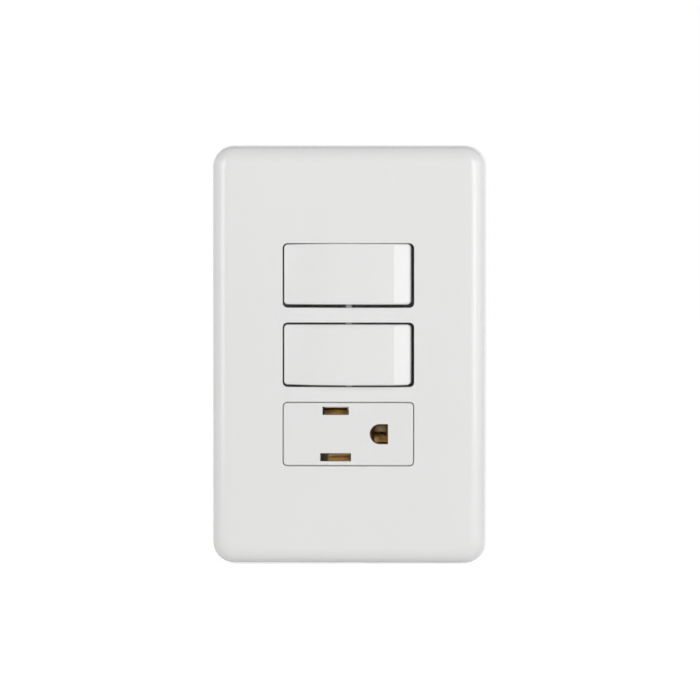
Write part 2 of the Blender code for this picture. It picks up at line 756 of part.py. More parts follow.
def terminal_pocket(base, side, middle_z, width, parent):
    """A side pocket of the rear housing, with the hole that its wire screw runs into."""
    floor_x = BODY_HALF - POCKET_DEPTH
    label = f"{base.name} pocket {side} {middle_z:.4f}"
    pocket = box(
        label,
        sorted((side * floor_x, side * (BODY_HALF + CAVITY_OVERRUN))),
        (BASE_FRONT_Y + POCKET_WALL, CHAMBER_FLOOR_Y),
        (middle_z - width / 2, middle_z + width / 2),
        parent,
    )
    ends = sorted((side * (wire_screw_x() - WIRE_SCREW_LENGTH - FIT), side * (floor_x + CAVITY_OVERRUN)))
    hole = rod(
        f"{label} screw hole",
        WIRE_SCREW_RADIUS + FIT,
        "X",
        ends[0],
        ends[1],
        (TERMINAL_Y, middle_z),
        parent,
        sides=16,
    )
    channel = box(
        f"{label} wire channel",
        sorted((side * (BODY_HALF - WIRE_CHANNEL_DEPTH), side * (BODY_HALF + CAVITY_OVERRUN))),
        (CHAMBER_FLOOR_Y - FIT, BASE_BACK + CAVITY_OVERRUN),
        (middle_z - WIRE_CHANNEL_WIDTH / 2, middle_z + WIRE_CHANNEL_WIDTH / 2),
        parent,
    )
    cut(base, pocket, hole, channel)


def terminal_x():
    """Distance from the module's middle to the middle of a terminal plate."""
    return BODY_HALF - POCKET_DEPTH + FIT + STRIP / 2


def wire_screw_x():
    """Distance from the module's middle to the underside of a wire screw's head."""
    return terminal_x() + STRIP / 2 + FIT


def terminal_strip(name, inner_x, leg_y, side, leg_z, plate_z, plate_width, leg_width, parent):
    """A strip from the mechanism to a side pocket, bent forwards there into a plate with a screw hole.

    It is bent from a blank as wide as the plate, with the leg's two sides cut away.
    """
    outer_x = side * terminal_x()
    line = [(inner_x, leg_y), (outer_x, leg_y), (outer_x, TERMINAL_FRONT_Y)]
    plate_ends = (plate_z - plate_width / 2, plate_z + plate_width / 2)
    strip = prism(name, strip_outline(line, STRIP), "Z", *plate_ends, parent, "contact_brass")
    shoulder = side * (terminal_x() - STRIP / 2 - FIT / 2)
    for edge in (-1, 1):
        leg_edge = leg_z + edge * leg_width / 2
        trim = box(
            f"{name} trim {edge}",
            sorted((inner_x - side * STRIP, shoulder)),
            (leg_y - STRIP, leg_y + STRIP),
            sorted((leg_edge, plate_z + edge * (plate_width / 2 + STRIP))),
            parent,
        )
        cut(strip, trim)
    hole = rod(
        f"{name} hole",
        WIRE_SCREW_RADIUS + FIT,
        "X",
        outer_x - STRIP,
        outer_x + STRIP,
        (TERMINAL_Y, plate_z),
        parent,
        sides=16,
    )
    cut(strip, hole)
    return strip


def wire_screw(name, side, middle_z, parent, material):
    return screw(
        name,
        (side * wire_screw_x(), TERMINAL_Y, middle_z),
        FACING_RIGHT if side > 0 else FACING_LEFT,
        WIRE_HEAD_RADIUS,
        WIRE_HEAD_HEIGHT,
        WIRE_SCREW_RADIUS,
        WIRE_SCREW_LENGTH,
        parent,
        material,
    )


def turn_point(x, y, angle):
    return (x * math.cos(angle) - y * math.sin(angle), x * math.sin(angle) + y * math.cos(angle))


def rocker_face(depth, half_length):
    """The rocker's face from its left end to its right, at a depth under its skin, with the rocker level.

    It is drawn with the right-hand run parallel to the plate, as it stands when the left end is pressed,
    and then turned by the rocker's tilt.
    """
    crest = -(ROCKER_AXIS_DEPTH + ROCKER_CREST) + depth
    radius = ROCKER_CURVED_RUN / math.sin(ROCKER_CURVE) - depth
    drawn = []
    for step in range(9):
        turn = ROCKER_CURVE * (8 - step) / 8
        drawn.append((-radius * math.sin(turn), crest + radius * (1 - math.cos(turn))))
    crease = ROCKER_CREASE - depth * math.tan(ROCKER_FACET / 2)
    drawn.append((crease, crest))
    level = [turn_point(x, y, ROCKER_TILT) for x, y in drawn]
    left_slope = math.tan(ROCKER_TILT - ROCKER_CURVE)
    right_slope = math.tan(ROCKER_TILT + ROCKER_FACET)
    left = (-half_length, level[0][1] + (-half_length - level[0][0]) * left_slope)
    right = (half_length, level[-1][1] + (half_length - level[-1][0]) * right_slope)
    return [left, *level, right]


def make_rocker(prefix, parent):
    """The rocker: a hollow cap with ribs, a shaft with two trunnions and a bored stem for the plunger."""
    half = ROCKER_HALF
    half_height = WINDOW_HEIGHT / 2 - ROCKER_SIDE_GAP
    face = rocker_face(0.0, half)
    outline = [(-half, ROCKER_SKIRT), *face, (half, ROCKER_SKIRT)]
    rocker = prism(f"{prefix}_rocker", outline, "Z", -half_height, half_height, parent, "rocker_white", True)
    bevel(rocker, ROCKER_EDGE, segments=3)
    inner_half = half - ROCKER_WALL
    inner_height = half_height - ROCKER_WALL
    inner_back = ROCKER_SKIRT + CAVITY_OVERRUN
    hollow = rocker_face(ROCKER_WALL, inner_half)
    hollow = [(-inner_half, inner_back), *hollow, (inner_half, inner_back)]
    cut(rocker, prism(f"{prefix} rocker hollow", hollow, "Z", -inner_height, inner_height, parent))
    under_face = -(ROCKER_AXIS_DEPTH + ROCKER_CREST) + ROCKER_WALL * 1.5
    rib_end = inner_height + FIT
    for side in (-1, 0, 1):
        middle = side * ROCKER_RIB_SPREAD
        rib = box(
            f"{prefix} rocker rib {side}",
            (middle - ROCKER_RIB / 2, middle + ROCKER_RIB / 2),
            (under_face + abs(side) * ROCKER_WALL / 2, ROCKER_SKIRT - ROCKER_RIB),
            (-rib_end, rib_end),
            parent,
        )
        join(rocker, rib)
    stem = rod(
        f"{prefix} rocker stem", STEM_RADIUS, "Y", under_face, STEM_REACH, (0.0, 0.0), parent, sides=24
    )
    shaft_end = half_height + TRUNNION_LENGTH
    shaft = rod(
        f"{prefix} rocker shaft", TRUNNION_RADIUS, "Z", -shaft_end, shaft_end, (0.0, 0.0), parent, sides=16
    )
    bore = rod(
        f"{prefix} rocker bore",
        PLUNGER_RADIUS + FIT,
        "Y",
        STEM_REACH - BORE_DEPTH,
        STEM_REACH + CAVITY_OVERRUN,
        (0.0, 0.0),
        parent,
        sides=20,
    )
    join(rocker, stem, shaft)
    cut(rocker, bore)
    return rocker


def make_plunger(prefix, parent):
    """A pin with a round nose that slides in the stem, pushed out by the spring behind it."""
    nose_centre = PLUNGER_REACH - PLUNGER_RADIUS
    nose = corner_arc((0.0, nose_centre), PLUNGER_RADIUS, math.pi / 2, -math.pi / 2, 5)
    nose[0] = (0.0, PLUNGER_REACH)
    rear = PLUNGER_REACH - PLUNGER_LENGTH
    profile = [*nose, (PLUNGER_RADIUS, rear), (0.0, rear)]
    return turned(
        f"{prefix}_plunger", profile, (0.0, 0.0, 0.0), (-math.pi / 2, 0.0, 0.0), parent, "plunger_black"
    )


def make_spring(prefix, parent):
    start = STEM_REACH - BORE_DEPTH + FIT + SPRING_WIRE
    end = PLUNGER_REACH - PLUNGER_LENGTH - FIT - SPRING_WIRE
    curve = bpy.data.curves.new(f"{prefix} spring", "CURVE")
    curve.dimensions = "3D"
    curve.bevel_depth = SPRING_WIRE * DRAWING_SCALE
    curve.bevel_resolution = 2
    curve.use_fill_caps = True
    spline = curve.splines.new("POLY")
    steps = SPRING_TURNS * SPRING_POINTS
    spline.points.add(steps)
    for index, point in enumerate(spline.points):
        turn = 2 * math.pi * index / SPRING_POINTS
        along = start + (end - start) * index / steps
        spot = Vector((SPRING_RADIUS * math.cos(turn), along, SPRING_RADIUS * math.sin(turn)))
        point.co = (*(spot * DRAWING_SCALE), 1.0)
    drawn = bpy.data.objects.new(f"{prefix} spring", curve)
    bpy.context.scene.collection.objects.link(drawn)
    solid = bpy.data.meshes.new_from_object(drawn.evaluated_get(bpy.context.evaluated_depsgraph_get()))
    bpy.data.objects.remove(drawn, do_unlink=True)
    bm = bmesh.new()
    bm.from_mesh(solid)
    bpy.data.meshes.remove(solid)
    bmesh.ops.remove_doubles(bm, verts=bm.verts, dist=0.001)
    bmesh.ops.transform(bm, matrix=Matrix.Scale(1 / DRAWING_SCALE, 4), verts=bm.verts)
    name = f"{prefix}_plunger_spring"
    return place(name, finish_mesh(name, bm, True), parent, "spring_steel")


def lever_back(x, angle):
    """Level along Y of the lever's back at a distance along a wing, with the lever turned."""
    rise = abs(x) * math.tan(LEVER_DIHEDRAL)
    return LEVER_AXIS_Y + turn_point(x, -LEVER_RIDGE_DROP - rise, angle)[1]


def make_lever(prefix, parent):
    """The see-saw: a shallow V of strip on a rounded ridge, with a contact button under its left wing."""
    half = LEVER_LENGTH / 2
    middle = -LEVER_RIDGE_DROP - LEVER_THICKNESS / 2
    tip = middle - half * math.tan(LEVER_DIHEDRAL)
    outline = strip_outline([(-half, tip), (0.0, middle), (half, tip)], LEVER_THICKNESS)
    half_width = LEVER_WIDTH / 2
    lever = prism(f"{prefix}_contact_lever", outline, "Z", -half_width, half_width, parent, "contact_brass")
    ridge = rod(
        f"{prefix} lever ridge", LEVER_RIDGE, "Z", -half_width, half_width, (0.0, 0.0), parent, sides=12
    )
    back = -LEVER_RIDGE_DROP - BUTTON_X * math.tan(LEVER_DIHEDRAL)
    button = rod(
        f"{prefix} lever button",
        BUTTON_RADIUS,
        "Y",
        back - LEVER_THICKNESS / 2,
        back + BUTTON_HEIGHT,
        (-BUTTON_X, 0.0),
        parent,
        sides=16,
    )
    join(lever, ridge, button)
    return lever


def fixed_button_y():
    """Level of the fixed contact's face, just clear of the lever's button when the switch is on."""
    back = -LEVER_RIDGE_DROP - BUTTON_X * math.tan(LEVER_DIHEDRAL) + BUTTON_HEIGHT
    edges = [turn_point(-BUTTON_X + s * BUTTON_RADIUS, back, -LEVER_TILT)[1] for s in (-1, 1)]
    return LEVER_AXIS_Y + max(edges) + FIT


def make_switch_cover(prefix, parent):
    cover = module_front(f"{prefix}_switch_cover", parent, "module_white")
    front = COLLAR_Y - CAVITY_OVERRUN
    cut(cover, window(f"{prefix} cover opening", 0.0, front, COVER_BACK + CAVITY_OVERRUN, parent))
    reach = WINDOW_HEIGHT / 2 - ROCKER_SIDE_GAP + TRUNNION_LENGTH + FIT
    bearing = rod(
        f"{prefix} trunnion bearings",
        TRUNNION_RADIUS + FIT,
        "Z",
        -reach,
        reach,
        (0.0, PIVOT_Y),
        parent,
        sides=16,
    )
    cut(cover, bearing)
    make_tongues(cover, parent)
    return cover


def make_switch_base(prefix, parent):
    """A switch's rear housing: a chamber for the see-saw, two side pockets and the lever's stop ledges."""
    base = module_base(f"{prefix}_switch_base", parent, "base_grey")
    half_width = CHAMBER_WIDTH / 2
    half_length = CHAMBER_LENGTH / 2
    front = BASE_FRONT_Y - CAVITY_OVERRUN
    live_floor = fixed_button_y() + BUTTON_HEIGHT + STRIP + FIT
    step_x = -CHEEK_LENGTH / 2 - 2 * FIT
    chamber = box(
        f"{prefix} chamber",
        (step_x, half_length),
        (front, CHAMBER_FLOOR_Y),
        (-half_width, half_width),
        parent,
    )
    live_side = box(
        f"{prefix} chamber live side",
        (-half_length, step_x + FIT),
        (front, live_floor),
        (-half_width, half_width),
        parent,
    )
    cut(base, chamber, live_side)
    notch_half = LEG_WIDTH / 2 + FIT
    pocket_floor = BODY_HALF - POCKET_DEPTH
    for side, floor in ((1, CHAMBER_FLOOR_Y), (-1, live_floor)):
        notch = box(
            f"{prefix} notch {side}",
            sorted((side * (half_length - FIT), side * (pocket_floor + FIT))),
            (front, floor),
            (-notch_half, notch_half),
            parent,
        )
        cut(base, notch)
        terminal_pocket(base, side, 0.0, POCKET_WIDTH, parent)
    ledge_in = LEVER_LENGTH / 2 - LEVER_THICKNESS * 2
    ledge_out = LEVER_LENGTH / 2 + LEVER_THICKNESS
    ledge_y = lever_back(ledge_in, LEVER_TILT) + FIT
    for side in (-1, 1):
        z_ends = sorted((side * notch_half, side * (half_width + FIT)))
        ledge = box(
            f"{prefix} ledge {side}", (ledge_in, ledge_out), (ledge_y, CHAMBER_FLOOR_Y + FIT), z_ends, parent
        )
        join(base, ledge)
    return base


def make_common_terminal(prefix, parent):
    """The terminal whose inner end is the fork that the see-saw rocks on."""
    half = CHEEK_LENGTH / 2
    strip = terminal_strip(
        f"{prefix}_common_terminal",
        -half,
        COMMON_Y + STRIP / 2,
        1,
        0.0,
        0.0,
        TERMINAL_WIDTH,
        LEG_WIDTH,
        parent,
    )
    cheek_top = LEVER_AXIS_Y + LEVER_RIDGE_DROP / 2
    for side in (-1, 1):
        ends = sorted((side * LEG_WIDTH / 2, side * (LEG_WIDTH / 2 - CHEEK)))
        cheek = box(f"{prefix} cheek {side}", (-half, half), (cheek_top, COMMON_Y + FIT), ends, parent)
        join(strip, cheek)
    seat = rod(
        f"{prefix} lever seat",
        LEVER_RIDGE + FIT,
        "Z",
        -LEG_WIDTH,
        LEG_WIDTH,
        (0.0, LEVER_AXIS_Y),
        parent,
        sides=16,
    )
    cut(strip, seat)
    return strip


def make_switched_terminal(prefix, parent):
    """The terminal whose inner end carries the fixed contact button."""
    face = fixed_button_y()
    leg_y = face + BUTTON_HEIGHT + STRIP / 2
    strip = terminal_strip(
        f"{prefix}_switched_terminal",
        -BUTTON_X + BUTTON_RADIUS + FIT,
        leg_y,
        -1,
        0.0,
        0.0,
        TERMINAL_WIDTH,
        LEG_WIDTH,
        parent,
    )
    button = rod(
        f"{prefix} fixed button", BUTTON_RADIUS, "Y", face, leg_y, (-BUTTON_X, 0.0), parent, sides=16
    )
    join(strip, button)
    return strip


def make_switch(prefix, module_z, root):
    origin = empty(f"{prefix} switch", (0.0, 0.0, module_z), root)
    rocker_axis = empty(f"{prefix} rocker axis", (0.0, PIVOT_Y, 0.0), origin, -ROCKER_TILT)
    lever_axis = empty(f"{prefix} lever axis", (0.0, LEVER_AXIS_Y, 0.0), origin, LEVER_TILT)
    make_switch_cover(prefix, origin)
    make_switch_base(prefix, origin)
    make_rocker(prefix, rocker_axis)
    make_plunger(prefix, rocker_axis)
    make_spring(prefix, rocker_axis)
    make_lever(prefix, lever_axis)
    make_common_terminal(prefix, origin)
    make_switched_terminal(prefix, origin)
    wire_screw(f"{prefix}_common_screw", 1, 0.0, origin, "screw_steel")
    wire_screw(f"{prefix}_switched_screw", -1, 0.0, origin, "screw_steel")


def slot_hole(name, middle_z, length, parent):
    return box(
        name,
        (BLADE_X - length / 2, BLADE_X + length / 2),
        (FACE_Y - CAVITY_OVERRUN, FACE_Y + FACE_WALL + CAVITY_OVERRUN),
        (middle_z - SLOT_HEIGHT / 2, middle_z + SLOT_HEIGHT / 2),
        parent,
    )


def earth_hole(name, parent):
    """A hole that is half round, with straight sides and a flat end away from the blades."""
    outline = corner_arc((EARTH_X, 0.0), EARTH_RADIUS, math.pi / 2, math.pi, 16)
    outline += [(EARTH_X + EARTH_FLAT, side * EARTH_RADIUS) for side in (-1, 1)]
    return prism(name, outline, "Y", FACE_Y - CAVITY_OVERRUN, FACE_Y + FACE_WALL + CAVITY_OVERRUN, parent)


def make_socket_face(parent):
    face = module_front("socket_face", parent, "module_white")
    block = window("socket face block", 0.0, FACE_Y, COLLAR_Y + FIT, parent, FACE_GAP)
    join(face, block)
    cavity = box(
        "socket face cavity",
        (-BODY_HALF + FACE_CAVITY_WALL * 2, BODY_HALF - FACE_CAVITY_WALL * 2),
        (FACE_Y + FACE_WALL, COVER_BACK + CAVITY_OVERRUN),
        (-MODULE_HALF_HEIGHT + FACE_CAVITY_WALL, MODULE_HALF_HEIGHT - FACE_CAVITY_WALL),
        parent,
    )
    cut(
        face,
        cavity,
        slot_hole("live slot", BLADE_SPACING / 2, LIVE_SLOT, parent),
        slot_hole("neutral slot", -BLADE_SPACING / 2, NEUTRAL_SLOT, parent),
        earth_hole("earth hole", parent),
    )
    make_tongues(face, parent)
    return face


def leaf_line(half_spread, throat, flare):
    """Middle line of a U of spring strip in the YZ plane: two leaves that close to a throat and flare."""
    mouth_y = FACE_Y + FACE_WALL + 2 * FIT
    throat_y = mouth_y + 2 * flare
    bow_y = throat_y + 0.3 * (CONTACT_BACK - throat_y)
    upper = [
        (mouth_y, throat + flare),
        (throat_y, throat),
        (bow_y, half_spread),
        (CONTACT_BACK - LEAF / 2, half_spread),
    ]
    return upper + [(y, -z) for y, z in reversed(upper)]


def make_contact(name, middle, width, half_spread, throat, side, terminal_z, terminal_width, parent):
    """A spring contact: a U of strip that grips the pin, on a leg that runs to its terminal."""
    middle_x, middle_z = middle
    leg_y = CONTACT_BACK + STRIP / 4
    contact = terminal_strip(
        name, middle_x, leg_y, side, middle_z, terminal_z, terminal_width, CONTACT_LEG_WIDTH, parent
    )
    line = leaf_line(half_spread, throat, LEAF_FLARE)
    outline = [(y, z + middle_z) for y, z in strip_outline(line, LEAF)]
    leaves = prism(
        f"{name} leaves", outline, "X", middle_x - width / 2, middle_x + width / 2, parent
    )
    join(contact, leaves)
    return contact


def well(name, middle, width, half_spread, side, parent):
    """Two boxes to cut from the rear housing: a well round a contact and the notch its leg leaves by."""
    middle_x, middle_z = middle
    floor = CONTACT_BACK + STRIP + FIT
    front = BASE_FRONT_Y - CAVITY_OVERRUN
    half_x = width / 2 + WELL_WALL
    half_z = half_spread + LEAF / 2 + WELL_WALL
    hole = box(
        name,
        (middle_x - half_x, middle_x + half_x),
        (front, floor),
        (middle_z - half_z, middle_z + half_z),
        parent,
    )
    notch_half = CONTACT_LEG_WIDTH / 2 + FIT
    notch = box(
        f"{name} notch",
        sorted((middle_x, side * (BODY_HALF - POCKET_DEPTH + FIT))),
        (front, floor),
        (middle_z - notch_half, middle_z + notch_half),
        parent,
    )
    return hole, notch


def make_socket(module_z, root):
    origin = empty("socket", (0.0, 0.0, module_z), root)
    half_pitch = BLADE_SPACING / 2
    blade_throat = (LEAF_THROAT + LEAF) / 2
    earth_throat = (EARTH_THROAT + LEAF) / 2
    live = (BLADE_X + LIVE_CONTACT_SHIFT, half_pitch)
    neutral = (BLADE_X + NEUTRAL_CONTACT_SHIFT, -half_pitch)
    contacts = (
        ("live", live, CONTACT_WIDTH, LEAF_HALF_SPREAD, blade_throat, -1),
        ("neutral", neutral, CONTACT_WIDTH, LEAF_HALF_SPREAD, blade_throat, -1),
        ("earth", (EARTH_X, 0.0), EARTH_LEAF_WIDTH, EARTH_LEAF_HALF_SPREAD, earth_throat, 1),
    )
    make_socket_face(origin)
    base = module_base("socket_base", origin, "base_grey")
    for name, middle, width, half_spread, throat, side in contacts:
        level = 0.0 if name == "earth" else math.copysign(SOCKET_TERMINAL_Z, middle[1])
        room = POCKET_WIDTH if name == "earth" else SOCKET_TERMINAL_WIDTH + 4 * FIT
        plate_width = TERMINAL_WIDTH if name == "earth" else SOCKET_TERMINAL_WIDTH
        terminal_pocket(base, side, level, room, origin)
        cut(base, *well(f"{name} well", middle, width, half_spread, side, origin))
        make_contact(
            f"{name}_contact", middle, width, half_spread, throat, side, level, plate_width, origin
        )
        wire_screw(
            f"{name}_screw", side, level, origin, "earth_green" if name == "earth" else "screw_steel"
        )


clear_scene()
PIECES = new_collection("switch_and_socket")
TOOLS = new_collection("cutters")
MODULES = (("upper", MODULE_PITCH), ("middle", 0.0), ("socket", -MODULE_PITCH))

plate_origin = empty("plate origin", (0.0, 0.0, 0.0))
make_cover_plate(plate_origin)
make_carrier(plate_origin)
make_mounting_frame(plate_origin)
make_plate_screws(plate_origin)
for module_name, module_level in MODULES[:2]:
    make_switch(module_name, module_level, plate_origin)
make_socket(MODULES[2][1], plate_origin)
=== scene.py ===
"""Switch and socket combination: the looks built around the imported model.

The plate faces -Y, +X is to its right as one looks at it, and +Z is up. Lengths are in metres.
"""

import json
import math

import bmesh
import bpy
from bpy.props import FloatProperty, FloatVectorProperty, IntProperty, PointerProperty
from mathutils import Matrix, Vector


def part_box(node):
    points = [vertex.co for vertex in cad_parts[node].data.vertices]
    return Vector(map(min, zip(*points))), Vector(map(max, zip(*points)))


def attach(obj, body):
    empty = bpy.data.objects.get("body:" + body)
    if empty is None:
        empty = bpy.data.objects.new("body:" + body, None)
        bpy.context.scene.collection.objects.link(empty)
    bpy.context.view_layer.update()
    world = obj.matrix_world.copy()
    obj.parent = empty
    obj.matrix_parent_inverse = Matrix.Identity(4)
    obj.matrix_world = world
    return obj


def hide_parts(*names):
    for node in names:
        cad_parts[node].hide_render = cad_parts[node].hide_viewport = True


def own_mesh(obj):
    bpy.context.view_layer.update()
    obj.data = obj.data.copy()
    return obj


bl_info = {
    "name": "Switch and Socket Combination",
    "version": (1, 0, 0),
    "blender": (4, 5, 0),
    "location": "3D View > Sidebar > Switch and Socket",
    "description": "Builds a wall plate with two rocker switches and an earthed socket on its model",
    "category": "Object",
}

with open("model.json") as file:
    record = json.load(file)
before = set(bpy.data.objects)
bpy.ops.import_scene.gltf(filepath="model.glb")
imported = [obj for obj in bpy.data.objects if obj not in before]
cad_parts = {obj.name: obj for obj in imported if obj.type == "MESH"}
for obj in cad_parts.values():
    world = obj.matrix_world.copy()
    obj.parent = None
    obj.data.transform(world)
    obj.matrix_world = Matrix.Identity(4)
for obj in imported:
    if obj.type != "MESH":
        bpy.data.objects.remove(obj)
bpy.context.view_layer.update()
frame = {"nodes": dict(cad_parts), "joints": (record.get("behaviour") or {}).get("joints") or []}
NODES = frame["nodes"]
PLATE_LOW, PLATE_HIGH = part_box("cover_plate")
SOCKET_LOW, SOCKET_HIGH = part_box("socket_face")
SWITCHES = ("upper", "middle")
JOINTS = {joint["name"]: joint for joint in frame["joints"]}
TOWARDS_FRONT = Matrix.Rotation(math.pi / 2, 4, "X")
SMOOTH_BELOW = math.radians(35)
ALIKE = 1e-7
SOFT_EDGE = 0.0002
PLAY = 0.0003
SENSOR_WIDTH = 36.0


def length(description, default):
    return FloatProperty(description=description, default=default, unit="LENGTH", precision=5)


def number(description, default):
    return FloatProperty(description=description, default=default)


def colour(description, default):
    return FloatVectorProperty(
        description=description, default=default, size=3, min=0.0, max=1.0, subtype="COLOR"
    )


class PlateSizes(bpy.types.PropertyGroup):
    width: length("Width of the cover plate", PLATE_HIGH.x - PLATE_LOW.x)
    height: length("Height of the cover plate", PLATE_HIGH.z - PLATE_LOW.z)
    depth: length("How far the plate's face stands off the wall", PLATE_HIGH.y - PLATE_LOW.y)
    corner: length("Radius of the plate's corners", 0.0059)
    wall: length("Thickness of the moulding", 0.0016)
    edge_width: length("Width of the soft edge round the face", 0.0052)
    edge_depth: length("Depth of the soft edge round the face", 0.0034)
    draft: length("How much the sides lean in towards the face", 0.0003)
    crown: length("How far the face falls towards its edges", 0.00025)
    crown_width: length("Width of the falling band of the face", 0.0100)
    window_length: length("Length of an opening", 0.0360)
    window_height: length("Height of an opening", 0.0176)
    window_corner: length("Radius of an opening's corners", 0.0013)
    window_edge: length("Rounding of an opening's front edge", 0.0002)
    pitch: length("Distance from one opening to the next", 0.0217)


class RockerSizes(bpy.types.PropertyGroup):
    end_gap: length("Gap at the rocker's two ends", 0.0007)
    side_gap: length("Gap along the rocker's long sides", 0.0006)
    axis_depth: length("Depth of the hinge behind the plate's face", 0.0041)
    crest: length("How far the level rocker stands before the plate", 0.0025)
    straight_run: length("Length of the flat part at the left end", 0.0045)
    facet_run: length("Length of the slanted facet at the right end", 0.0047)
    skirt: length("How far the walls reach behind the hinge", 0.0015)
    wall: length("Thickness of the cap", 0.0015)
    edge: length("Rounding round the face", 0.0005)
    corner: length("Radius of the face's four corners", 0.0010)
    shaft: length("Radius of the shaft", 0.0010)
    trunnion: length("Length of the shaft's ends beyond the cap", 0.0015)
    stem: length("Radius of the stem that holds the spring", 0.0026)
    stem_end: length("How far the stem reaches behind the hinge", 0.0112)
    bore: length("Radius of the stem's bore", 0.0017)
    bore_depth: length("Depth of the stem's bore", 0.0080)
    rib: length("Thickness of a rib", 0.0010)
    rib_place: length("Distance of the outer ribs from the hinge", 0.0095)
    upper_seat: length("How far the upper rocker sits above its middle", 0.0003)
    middle_seat: length("How far the middle rocker sits above its middle", 0.0001)
    flare: number("How much a long side leans out, as a slope", 0.1)
    tilt: number("Turn of the pressed rocker", 4.0)
    curve: number("Angle that the curved run turns through", 12.0)
    facet: number("Slant of the facet at the right end", 17.0)


class SocketSizes(bpy.types.PropertyGroup):
    gap: length("Gap round the socket's face", 0.00025)
    blade_x: length("Middle of the two slots from the module's middle", -0.0035)
    blade_spacing: length("Distance between the slots", 0.0127)
    slot_height: length("Height of a slot", 0.0022)
    live_slot: length("Length of the upper slot", 0.0072)
    neutral_slot: length("Length of the lower slot", 0.00845)
    earth_x: length("Middle of the earth hole from the module's middle", 0.0086)
    earth_radius: length("Radius of the earth hole", 0.00275)
    earth_flat: length("Distance of the hole's flat side from its middle", 0.00225)
    wall: length("Thickness of the socket's face", 0.0034)
    edge: length("Rounding of the holes' rims", 0.00012)
    rounding: length("Rounding round the socket's face", 0.0003)
    mouth: length("Distance of the contacts' front from the face", 0.0019)
    leaf: length("Thickness of a contact's strip", 0.0003)


class SpringSizes(bpy.types.PropertyGroup):
    radius: length("Radius of the coil to the middle of its wire", 0.00105)
    wire: length("Radius of the wire", 0.0002)
    seat: length("Distance of the coil's fixed end from the rocker's axis", 0.0035)
    end: length("Distance of the coil's free end from the rocker's axis", 0.0071)
    turns: IntProperty(description="Turns of the coil", default=5)


class FinishColours(bpy.types.PropertyGroup):
    plate: colour("Gloss white of the cover plate", (0.83, 0.83, 0.825))
    rocker: colour("Gloss white of the rockers", (0.84, 0.84, 0.835))
    module: colour("White of the socket's face and the switch bodies", (0.82, 0.82, 0.815))
    housing: colour("Grey of the rear housings", (0.50, 0.51, 0.52))
    carrier: colour("Matt white of the carrier", (0.76, 0.76, 0.745))
    zinc: colour("Galvanised mounting frame", (0.56, 0.57, 0.58))
    screw: colour("Zinc-plated screws", (0.64, 0.63, 0.60))
    earth: colour("Green of the earth screw", (0.07, 0.30, 0.12))
    brass: colour("Contact strip", (0.58, 0.45, 0.25))
    spring: colour("Spring wire", (0.60, 0.60, 0.62))
    plunger: colour("Black of the plungers", (0.035, 0.035, 0.038))


class StageSettings(bpy.types.PropertyGroup):
    distance: length("Distance of the camera from the wall plane", 3.0)
    turn: number("Degrees that the camera stands to the right", 2.4)
    rise: number("Degrees that the camera stands above", 1.4)
    view_width: length("Width that the picture spans at the wall plane", 0.19203)
    shift_x: length("Place to the right of the plate's middle that is looked at", 0.00011)
    shift_z: length("Place above the plate's middle that is looked at", 0.00112)
    lamp_distance: length("Distance of the lamps from the plate", 1.25)
    ambient: number("Strength of the room's light", 0.97)
    ceiling: number("Share of that light from above", 0.3)
    right: number("Power of the softbox at the right", 2.0)
    left: number("Power of the softbox at the left", 2.3)
    right_near: number("Power of the lamp near right", 3.2)
    right_strip: number("Power of the strip at the right", 2.15)
    left_strip: number("Power of the strip at the left", 1.5)


class SwitchSocketSettings(bpy.types.PropertyGroup):
    plate: PointerProperty(type=PlateSizes)
    rocker: PointerProperty(type=RockerSizes)
    socket: PointerProperty(type=SocketSizes)
    spring: PointerProperty(type=SpringSizes)
    finish: PointerProperty(type=FinishColours)
    stage: PointerProperty(type=StageSettings)


def module_level(name):
    """Height of a module's middle: the switches above, the socket below."""
    pitch = bpy.context.scene.switch_socket.plate.pitch
    return {"upper": pitch, "middle": 0.0, "socket": -pitch}[name]


def new_mesh(name, bm, finish=None):
    """Turns a bmesh into a mesh, with a finish if one is given."""
    mesh = bpy.data.meshes.new(name)
    bm.to_mesh(mesh)
    bm.free()
    if finish:
        mesh.materials.append(finish)
    return mesh


def new_object(name, data):
    made = bpy.data.objects.new(name, data)
    bpy.context.scene.collection.objects.link(made)
    return made


def finished_piece(name, bm, node, body="wall_unit"):
    """Closes a bmesh into an object that stands for a CAD node and rides on its body."""
    bmesh.ops.remove_doubles(bm, verts=bm.verts, dist=ALIKE)
    bmesh.ops.recalc_face_normals(bm, faces=bm.faces)
    flat = bm.faces.layers.int.get("flat")
    for face in bm.faces:
        face.smooth = flat is None or not face[flat]
    for edge in bm.edges:
        edge.smooth = len(edge.link_faces) == 2 and edge.calc_face_angle(0.0) < SMOOTH_BELOW
    piece = new_object(name, new_mesh(name, bm, finish_of(node)))
    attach(piece, body)
    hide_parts(node)
    return piece


def rounded(bm, geom, width, segments, affect="EDGES", clamp=False):
    """Rounds edges, or a face's corners, and returns the faces made."""
    return bmesh.ops.bevel(
        bm,
        geom=geom,
        offset=width,
        offset_type="OFFSET",
        segments=segments,
        profile=0.5,
        affect=affect,
        clamp_overlap=clamp,
        material=-1,
    )["faces"]


def facing(direction):
    """The turn that leads the Z axis to a direction."""
    return Vector((0, 0, 1)).rotation_difference(direction).to_matrix().to_4x4()


def bar(bm, sides, radius, depth, place):
    """A closed bar of some sides along the Z axis of its place."""
    made = bmesh.ops.create_cone(
        bm, cap_ends=True, segments=sides, radius1=radius, radius2=radius, depth=depth, matrix=place
    )
    return made["verts"]


def disc(bm, sides, radius, place):
    """A flat face of some sides across the Z axis of its place."""
    made = bmesh.ops.create_circle(bm, cap_ends=True, segments=sides, radius=radius, matrix=place)
    return made["verts"]


def faces_of(verts):
    return {face for vert in verts for face in vert.link_faces}


